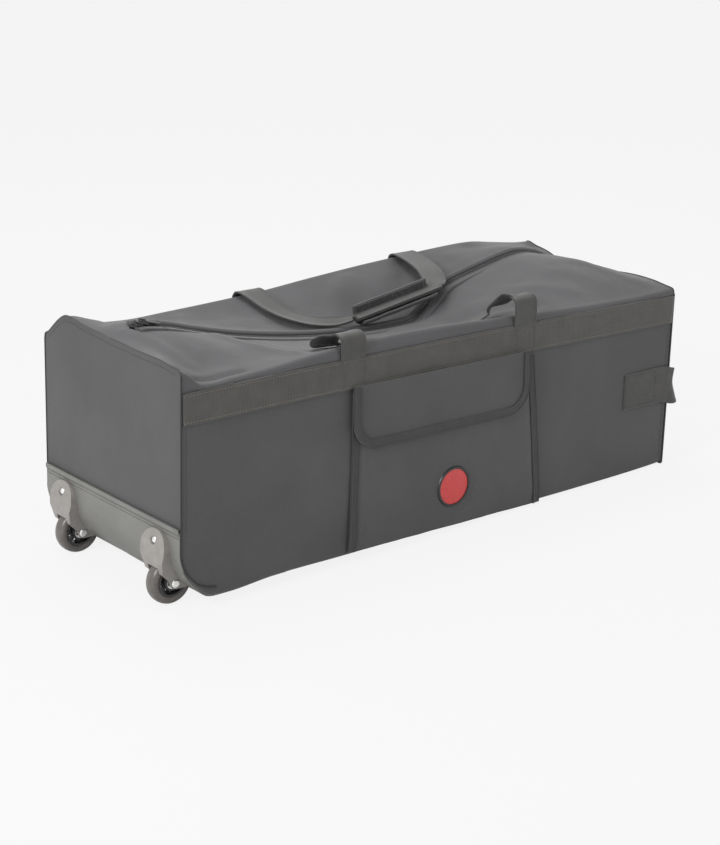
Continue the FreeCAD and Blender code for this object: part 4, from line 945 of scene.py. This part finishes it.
pouch_low, pouch_high = bag_box("pocket_pouch")
flap_low, flap_high = bag_box("flap_panel")
badge_low, badge_high = bag_box("badge_rim")
BADGE = (badge_low + badge_high) / 2
POUCH_LEFT, POUCH_RIGHT = pouch_low.x, pouch_high.x
POUCH_TOP_RIGHT = POUCH_RIGHT - 31
POUCH_FACE = -pouch_low.y
POUCH_FOLDS = [(-195, 30, -120, 70, 14, 1.6), (150, 20, 60, 120, 16, 1.3), (-180, 160, -60, 130, 18, 1.2)]
FLAP_FACE = -flap_low.y
FLAP_CURVE = 48.0
TUCK = 6.0  # how far the pocket's tapes and the flap's binding run on past their seam


def pouch_right(z):
    """Right side seam of the pocket, which slants in towards the top."""
    return POUCH_RIGHT + (POUCH_TOP_RIGHT - POUCH_RIGHT) * (z - pouch_low.z) / (pouch_high.z - pouch_low.z)


def pouch_y(x, z):
    """Outer face of the pocket: it stands off the wall except at its side seams and foot."""
    inset = min(x - POUCH_LEFT, pouch_right(z) - x)
    side_rise = math.sin(min(max(inset / 34, 0), 1) * math.pi / 2)
    foot_rise = math.sin(min(max((z + 8) / 44, 0), 1) * math.pi / 2)
    lift = (POUCH_FACE - HALF_WIDTH) * side_rise * foot_rise
    flat = math.exp(-((math.hypot(x - BADGE.x, z - BADGE.z)) / 52) ** 4)
    loose = (1.6 * rumple(x, 0, z, 75, 41) + crease(x, z, POUCH_FOLDS)) * side_rise * (1 - flat)
    lift = lift * (1 - flat) + (POUCH_FACE - HALF_WIDTH + 0.2) * flat
    if flat < 0.5:
        return -(HALF_WIDTH + 1.2 + max(lift + loose, 0))
    return -(HALF_WIDTH + 0.2 + lift + loose)


def pocket():
    """The pocket's cloth and the stitched tape down each of its side seams."""
    rows = []
    for z in spread(base_z(0) + 2, pouch_high.z + 8, 60):
        right = pouch_right(min(z, pouch_high.z))
        rows.append([Vector((x, pouch_y(x, z), z)) for x in spread(POUCH_LEFT + 2, right - 2, 84)])
    build("pouch_cloth", [Patch(rows, facing=(0, -1, 0))], [CLOTH, LINING], "shell",
          ["pocket_pouch"], wall=1.8)
    for name, edge_at, node in (("pouch_tape_left", lambda z: POUCH_LEFT + 7, "pocket_binding_left"),
                                ("pouch_tape_right", lambda z: pouch_right(z) - 7, "pocket_binding_right")):
        stations = []
        for z in spread(base_z(0) + 3, pouch_high.z + TUCK, 18):
            x = edge_at(z)
            y = min(pouch_y(x - 5, z), pouch_y(x + 5, z), pouch_y(x, z)) - 1.3
            stations.append((Vector((x, y + 0.5 * rumple(x, 0, z, 30, 3), z)), (1, 0, 0), 15, 2.2))
        build(name, [strap_patch(stations, steps=3)], [TAPE], "shell", [node])
        for across in (-5.2, 5.2):
            seam([s[0] + Vector((across, -1.35, 0)) for s in stations], thread="grey")


def flap_edges(z):
    """Left and right ends of the flap at a height."""
    rise = min(max(z - flap_low.z, 0), FLAP_CURVE)
    inset = FLAP_CURVE - math.sqrt(max(FLAP_CURVE**2 - (FLAP_CURVE - rise) ** 2, 0))
    return flap_low.x + inset, flap_high.x - inset


def flap_y(x, z):
    """Outer face of the flap, a little proud along its middle and lifting towards its free edge."""
    down = min(max((flap_high.z - z) / (flap_high.z - flap_low.z), 0), 1)
    swell = 2.0 * math.sin(math.pi * min(down * 0.9, 1)) + 1.5 * down * down
    return -(FLAP_FACE + swell * 0.8 - 2.0 + 0.9 * rumple(x, 9, z, 60, 51) * down)


def flap_outline(inset, steps=12):
    """Down one side of the flap, round both corners and up the other, the given distance inside its edge."""
    left, right, low = flap_low.x + inset, flap_high.x - inset, flap_low.z + inset
    curve = FLAP_CURVE - inset
    turns = [math.radians(90 * k / steps) for k in range(steps + 1)]
    run = [(left, z) for z in spread(flap_high.z + TUCK, low + curve, 8)]
    run += [(left + curve - curve * math.cos(a), low + curve - curve * math.sin(a)) for a in turns[1:]]
    run += [(x, low) for x in spread(left + curve, right - curve, 16)[1:-1]]
    run += [(right - curve + curve * math.sin(a), low + curve - curve * math.cos(a)) for a in turns]
    return run + [(right, z) for z in spread(low + curve, flap_high.z + TUCK, 8)[1:]]


def flap():
    """The pocket's flap and the tape bound round its free edge."""
    low = flap_low.z
    heights = [low + FLAP_CURVE * (1 - math.cos(math.radians(a))) for a in spread(3, 90, 18)]
    heights += spread(low + FLAP_CURVE, flap_high.z + 8, 18)[1:]
    rows = []
    for z in heights:
        left, right = flap_edges(z)
        rows.append([Vector((x, flap_y(x, z), z)) for x in spread(left + 1, right - 1, 70)])
    build("flap_cloth", [Patch(rows, facing=(0, -1, 0))], [CLOTH, LINING], "flap_hinge",
          ["flap_panel"], wall=2.4)
    stations = []
    run = flap_outline(6.0)
    for i, (x, z) in enumerate(run):
        ahead, behind = run[min(i + 1, len(run) - 1)], run[max(i - 1, 0)]
        tangent = Vector((ahead[0] - behind[0], 0, ahead[1] - behind[1])).normalized()
        across = tangent.cross(Vector((0, -1, 0)))
        stations.append((Vector((x, flap_y(x, z) - 0.2, z)), across, 14.5, 4.4))
    build("flap_tape", [strap_patch(stations)], [TAPE], "flap_hinge", ["flap_binding"])
    seam([(x, flap_y(x, z) - 2.6, z) for x, z in flap_outline(11.6)], "flap_hinge", "grey")


# ---- Straps and handles

FRONT_LEFT, FRONT_RIGHT = -209.0, 164.0
REAR_LEFT, REAR_RIGHT = -135.0, 215.0
WRAP_TILT = math.radians(9.5)
WRAP_LEAN = Vector((math.cos(WRAP_TILT), 0, math.sin(WRAP_TILT)))
WRAP_LENGTH = 166.0
WRAP_START = Vector((-24.0, 17.0, 316.0))


def handle_leg(x, side, top, way):
    """Stations of a handle's lower end, up from under the band and over the edge of the bag."""
    out = HALF_WIDTH + 2.6
    places = ((out - 0.6, BAND_TOP - 4), (out + 0.6, BAND_TOP + 8), (out + 1.2, (BAND_TOP + top) / 2),
              (out - 0.6, top - 8), (out - 7, top - 1.5), (out - 20, top - 0.5))
    return [((x, side * y, z), (way, 0, 0), STRAP_WIDTH, STRAP_WALL) for y, z in places]


def on_top(x, side, share, half, lift):
    """Middle of a strap lying on the top cloth and the direction across it, outer edge to inner."""
    outer = top_point(x, side, share - half)
    inner = top_point(x, side, share + half)
    return (outer + inner) / 2 + Vector((0, 0, lift)), inner - outer


def handles():
    """Both carrying handles: the front one lies flat, the rear one is folded narrow inside its grip wrap."""
    left, right = FRONT_LEFT, FRONT_RIGHT
    run = handle_leg(left, -1, 363, 1)
    run += [
        ((left - 5, -161, 356), (1, 0.15, 0), 49, STRAP_WALL),
        ((left - 14, -146, 344), (0.9, -0.45, 0.1), 48, STRAP_WALL),
        ((left - 8, -136, 333), (0.4, -0.9, 0.3), 47, STRAP_WALL),
    ]
    for x in (-172, -120, -60, 0, 50, 92):
        middle, across = on_top(x, -1, 0.3, 0.125, 3.0)
        run.append((middle, -across, 48, STRAP_WALL))
    run += [
        ((right - 38, -139, 336), (-0.3, -0.9, 0.3), 47, STRAP_WALL),
        ((right - 30, -146, 350), (-0.9, -0.45, 0.1), 48, STRAP_WALL),
        ((right - 12, -160, 364), (-1, 0.15, 0), 49, STRAP_WALL),
    ]
    run += handle_leg(right, -1, 371, -1)[::-1]
    build("front_handle_strap", [strap_patch(run, steps=7)], [HANDLE], "front_handle_foot",
          ["front_handle"])

    left, right = REAR_LEFT, REAR_RIGHT
    end = WRAP_START + WRAP_LEAN * WRAP_LENGTH
    run = handle_leg(left, 1, 344, 1)
    run += [
        ((left, 152, 339), (1, 0.05, 0), 49, STRAP_WALL),
        ((left + 2, 114, 329), (1, 0.15, 0), 48, STRAP_WALL),
        ((left + 13, 80, 320), (1, 0.4, 0), 46, STRAP_WALL),
        ((left + 38, 50, 313.5), (0.75, 0.9, 0.15), 40, STRAP_WALL),
        ((left + 70, 32, 312), (0.3, 1, 0.2), 34, 3.0),
        (WRAP_START + Vector((-14, 2, -0.6)), (0.1, 1, 0), 26, 4.0),
        (WRAP_START + Vector((-2, 0, 0)), (0, 1, 0), 21.5, 5.0),
        (WRAP_START.lerp(end, 0.5), (0, 1, 0), 21.5, 5.0),
        (end + Vector((2, 0, 0.2)), (0, 1, 0), 21.5, 5.0),
        (end + Vector((14, 5, 2.5)), (-0.2, 1, 0), 28, 4.0),
        ((right - 44, 46, 350), (-0.9, 1, 0.1), 42, STRAP_WALL),
        ((right - 22, 86, 357), (-1, 0.35, 0), 46, STRAP_WALL),
        ((right - 6, 136, 362), (-1, 0.05, 0), 49, STRAP_WALL),
    ]
    run += handle_leg(right, 1, 366, -1)[::-1]
    run = [(c, -Vector(a), w, t) for c, a, w, t in run]
    build("rear_handle_strap", [strap_patch(run, steps=7)], [HANDLE], "rear_handle_foot",
          ["rear_handle"])
    for x, side in ((FRONT_LEFT, -1), (FRONT_RIGHT, -1), (REAR_LEFT, 1), (REAR_RIGHT, 1)):
        bar_tack(x, side)


def grip_wrap():
    """Padded sleeve round the folded webbing, with its flap standing open and lined with hooks."""
    up = Vector((-math.sin(WRAP_TILT), 0, math.cos(WRAP_TILT)))
    sleeve = [(16.0, -4.5), (16.4, -7.0), (14.8, -10.0), (10.0, -12.6), (4.0, -13.2), (-4.0, -13.2), (-10.0, -12.2),
              (-14.2, -8.5), (-15.6, -3.0), (-15.0, 3.2), (-14.0, 4.2), (-12.6, 3.0), (-12.0, -3.0), (-10.8, -6.8),
              (-7.6, -9.2), (0.0, -9.8), (7.6, -9.2), (11.4, -7.4), (13.2, -4.8), (14.6, -3.2)]
    stations = []
    for share in spread(0, 1, 26):
        swell = 1.0 + 0.05 * math.sin(math.pi * share) - 0.06 * (abs(share - 0.5) > 0.49)
        centre = WRAP_START + WRAP_LEAN * (WRAP_LENGTH * share)
        along = share * 190
        centre += Vector((0, 0.8 * rumple(along, 0, 0, 40, 61), 0.5 * rumple(along, 50, 0, 30, 62)))
        stations.append((centre, (0, -1, 0), swell, swell))
    piece = build("grip_wrap_pad", [strap_patch(stations, section=sleeve)], [CLOTH], "rear_handle",
                  ["grip_wrap"], outward=True)

    stations, hooks = [], []
    for share in spread(0.0, 1, 26):
        centre = WRAP_START + WRAP_LEAN * (WRAP_LENGTH * share) + up * 8.0
        centre.y += 14.5 + 0.7 * math.sin(share * 9) + 0.5 * rumple(share * 190, 80, 0, 30, 63)
        stations.append((centre, up, 19.0, 3.4))
        hooks.append((centre + Vector((0, -2.2, 0)) - up * 0.9, up, 15.0, 1.8))
    build("wrap_flap_cloth", [strap_patch(stations)], [LIT_TOP_CLOTH], "wrap_flap", ["wrap_flap"],
          outward=True)
    build("wrap_flap_hooks", [strap_patch(hooks[1:-1])], [HOOKS], "wrap_flap", outward=True)


def grab_strap():
    """Wide webbing sewn to both walls and carried round the strap end as a drooping loop."""
    beside = [(418, 3.4), (440, 3.6), (480, 3.4), (515, 3.2), (532, 3.6), (546, 2.0), (554, -6), (558, -20),
              (560, -45)]
    half_path = [(x, HALF_WIDTH + out) for x, out in beside] + [(561.5, 110), (562, 50), (562, 0)]
    full = [(x, -y) for x, y in half_path] + half_path[-2::-1]
    stations = []
    for x, y in full:
        lean = eased((x - 512) / 44)
        stations.append(((x, y, GRAB_HEIGHT - 9 * lean), (0.36 * lean, 0, -1), 66, 2.8))
    build("grab_strap_webbing", [strap_patch(stations, steps=6)], [HANDLE], "grab_hinge",
          ["grab_anchor_front", "grab_anchor_back", "grab_loop"])
    for side in (-1, 1):
        y = side * (HALF_WIDTH + 5.2)
        box = [(421, 130), (498, 130), (498, 187), (421, 187), (421, 130)]
        line = []
        for (xa, za), (xb, zb) in zip(box, box[1:]):
            line += [(xa + (xb - xa) * s, y, za + (zb - za) * s) for s in spread(0, 1, 8)[:-1]]
        line.append((box[0][0], y, box[0][1]))
        seam(line, thread="grey")


# ---- Zip

def zip_point(x, offset, rise):
    """Point beside the zip's middle line and above its tape."""
    y, z = zip_line(x)
    ahead, behind = zip_line(x + 2), zip_line(x - 2)
    tangent = Vector((4, ahead[0] - behind[0], ahead[1] - behind[1])).normalized()
    across = (Vector((0, 1, 0)) - tangent * tangent.y).normalized()
    return Vector((x, y, z)) + across * offset + tangent.cross(across) * rise, across


# One of the two rolled edges of cloth that stand along the zip, from its inner to its outer side.
ZIP_FOLD = [(6.2, 0.2), (6.4, 3.4), (4.8, 5.6), (1.6, 7.6), (-2.0, 7.6), (-4.8, 6.0), (-6.6, 3.0), (-7.0, -0.8),
            (0.0, -1.4)]


def zips():
    """Tape, rolled edge and coil on each side of the zip: along both lids, then over each fixed end."""
    coil_pitch = 1.8
    wheel_end, strap_end = (-ZIP_STOP, -LID_HALF - 0.4), (LID_HALF + 0.4, ZIP_STOP)
    runs = [("front_lid_{}", -1, (-LID_HALF, LID_HALF), "front_lid", ["zip_track_front"]),
            ("rear_lid_{}", 1, (-LID_HALF, LID_HALF), "rear_lid", ["zip_track_rear"]),
            ("wheel_end_{}_front", -1, wheel_end, "shell", ["zip_end_wheel"]),
            ("wheel_end_{}_rear", 1, wheel_end, "shell", []),
            ("strap_end_{}_front", -1, strap_end, "shell", ["zip_end_strap"]),
            ("strap_end_{}_rear", 1, strap_end, "shell", [])]
    for name, side, (low, high), body, nodes in runs:
        count = max(int((high - low) / 14), 4)
        tape, fold = [], []
        for x in spread(low, high, count):
            middle, across = zip_point(x, side * 10.2, 0.0)
            tape.append((middle, -across, 14.6, 1.9))
            middle, across = zip_point(x, side * 13.6, 0.0)
            fold.append((middle, -across * side, 1.0, 1.0))
        build(name.format("tape"), [strap_patch(tape)], [ZIP_TAPE], body, nodes)
        build(name.format("fold"), [strap_patch(fold, section=ZIP_FOLD)], [LIT_TOP_CLOTH], body,
              outward=True)
        stagger = coil_pitch / 2 if side > 0 else 0
        teeth = [zip_point(x + stagger, side * 2.3, 1.1)[0] for x in spread(low, high, count * 2)]
        beads(name.format("coil"), [teeth], COIL, coil_pitch, 1.5, 4.3, 2.0, body)


# ---- Wheels

def tyres():
    """Round-shouldered tyres turned about the axle."""
    half, r = WHEEL_HALF, WHEEL_RADIUS
    shoulder = [(25.1, 1.0), (28, 0.2), (31, 0.0), (33.5, 0.6), (35.6, 2.2), (37.0, 4.6), (37.8, 7.6)]
    profile = [(radius, -half + inset) for radius, inset in shoulder] + [(r, -0.9), (r + 0.15, 0.0), (r, 0.9)]
    profile += [(radius, half - inset) for radius, inset in shoulder[::-1]] + [(25.1, 0), (25.1, -half + 1.0)]
    for side, end in ((-1, "front"), (1, "rear")):
        ring = turned_patch(profile, (AXLE_X, side * WHEEL_Y, AXLE_Z))
        build(f"tyre_{end}_ring", [ring], [TYRE], "wheel_" + end, ["tyre_" + end], merge=0.02,
              outward=True)


def cad_finishes():
    """Finishes of the rigid CAD pieces that are shown as they are."""
    finishes = {
        HOUSING: "wheel_housing_front wheel_housing_rear",
        WELL: "wheel_well_front wheel_well_rear",
        HUB: "hub_front hub_rear",
        STEEL: "bearings_front bearings_rear bearing_spacer_front bearing_spacer_rear axle_front axle_rear "
               "housing_rivets",
        DARK_METAL: "zip_slider zip_pull",
        RED: "badge_disc",
        BLACK: "badge_rim",
        BOARD: "base_board end_board",
    }
    for finish, nodes in finishes.items():
        for node in nodes.split():
            mesh = frame["nodes"][node].data
            mesh.materials.clear()
            mesh.materials.append(finish)


# ---- Camera, light and floor

def linked(tree, *joins):
    """Joins outputs to inputs."""
    for output, target in joins:
        tree.links.new(output, target)


def either(tree, first, second):
    """The larger of two values, which is one ray kind or the other."""
    node = tree.nodes.new("ShaderNodeMath")
    node.operation = "MAXIMUM"
    linked(tree, (first, node.inputs[0]), (second, node.inputs[1]))
    return node.outputs[0]


def placed_at(name, data, place, facing):
    """An object at a place, looking along a direction."""
    held = bpy.data.objects.new(name, data)
    held.location = place
    held.rotation_mode = "QUATERNION"
    held.rotation_quaternion = facing.to_track_quat("-Z", "Y")
    bpy.context.scene.collection.objects.link(held)
    return held


def studio():
    """Camera, pale surroundings, three soft lights and the floor, which shows pale but keeps its shadow."""
    scene = bpy.context.scene
    scene.view_settings.view_transform = "Standard"
    azimuth, elevation = math.radians(-39.22), math.radians(19.15)
    back = Vector((math.sin(azimuth) * math.cos(elevation), -math.cos(azimuth) * math.cos(elevation),
                   math.sin(elevation)))
    camera = bpy.data.cameras.new("view")
    camera.lens = 86.91
    camera.sensor_width = 36.0
    scene.camera = placed_at("view", camera, Vector((-0.0356, 0.0098, 0.150)) + back * 3.532, -back)

    world = bpy.data.worlds.new("room")
    scene.world = world
    world.use_nodes = True
    tree = world.node_tree
    plain = tree.nodes["Background"]
    plain.inputs["Color"].default_value = (1.0, 1.0, 1.0, 1)
    plain.inputs["Strength"].default_value = 0.60
    shown = tree.nodes.new("ShaderNodeBackground")
    shown.inputs["Color"].default_value = (0.922, 0.922, 0.922, 1)
    shown.inputs["Strength"].default_value = 1.0
    rays = tree.nodes.new("ShaderNodeLightPath").outputs
    seen = either(tree, either(tree, rays["Is Camera Ray"], rays["Is Transmission Ray"]), rays["Is Glossy Ray"])
    mix = tree.nodes.new("ShaderNodeMixShader")
    linked(tree, (seen, mix.inputs[0]), (plain.outputs[0], mix.inputs[1]), (shown.outputs[0], mix.inputs[2]),
           (mix.outputs[0], tree.nodes["World Output"].inputs["Surface"]))

    for name, place, energy, size in (("key", (-3.0, -0.6, 2.1), 74, 1.3), ("fill", (1.4, -2.8, 1.5), 18, 2.4),
                                      ("top", (0.1, 1.1, 3.0), 34, 1.6)):
        lamp = bpy.data.lights.new(name, "AREA")
        lamp.energy = energy
        lamp.shape = "DISK"
        lamp.size = size
        placed_at(name, lamp, place, Vector((0, 0, 0.15)) - Vector(place))

    mesh = bpy.data.meshes.new("floor")
    bm = bmesh.new()
    bmesh.ops.create_grid(bm, x_segments=2, y_segments=2, size=14)
    bm.to_mesh(mesh)
    bm.free()
    floor = bpy.data.objects.new("floor", mesh)
    scene.collection.objects.link(floor)
    finish = bpy.data.materials.new("floor")
    finish.use_nodes = True
    tree = finish.node_tree
    matt = tree.nodes["Principled BSDF"]
    matt.inputs["Base Color"].default_value = (0.9, 0.9, 0.9, 1)
    matt.inputs["Roughness"].default_value = 0.9
    matt.inputs["Specular IOR Level"].default_value = 0.1
    glow = tree.nodes.new("ShaderNodeEmission")
    glow.inputs["Color"].default_value = (0.925, 0.925, 0.925, 1)
    share = tree.nodes.new("ShaderNodeMath")
    share.operation = "MULTIPLY"
    share.inputs[1].default_value = 0.93
    mix = tree.nodes.new("ShaderNodeMixShader")
    linked(tree, (tree.nodes.new("ShaderNodeLightPath").outputs["Is Camera Ray"], share.inputs[0]),
           (share.outputs[0], mix.inputs[0]), (matt.outputs[0], mix.inputs[1]), (glow.outputs[0], mix.inputs[2]),
           (mix.outputs[0], tree.nodes["Material Output"].inputs["Surface"]))
    mesh.materials.append(finish)


studio()
shell()
lids()
bands()
piping()
kick_plate()
pocket()
flap()
handles()
grip_wrap()
grab_strap()
zips()
tyres()
cad_finishes()
sew()
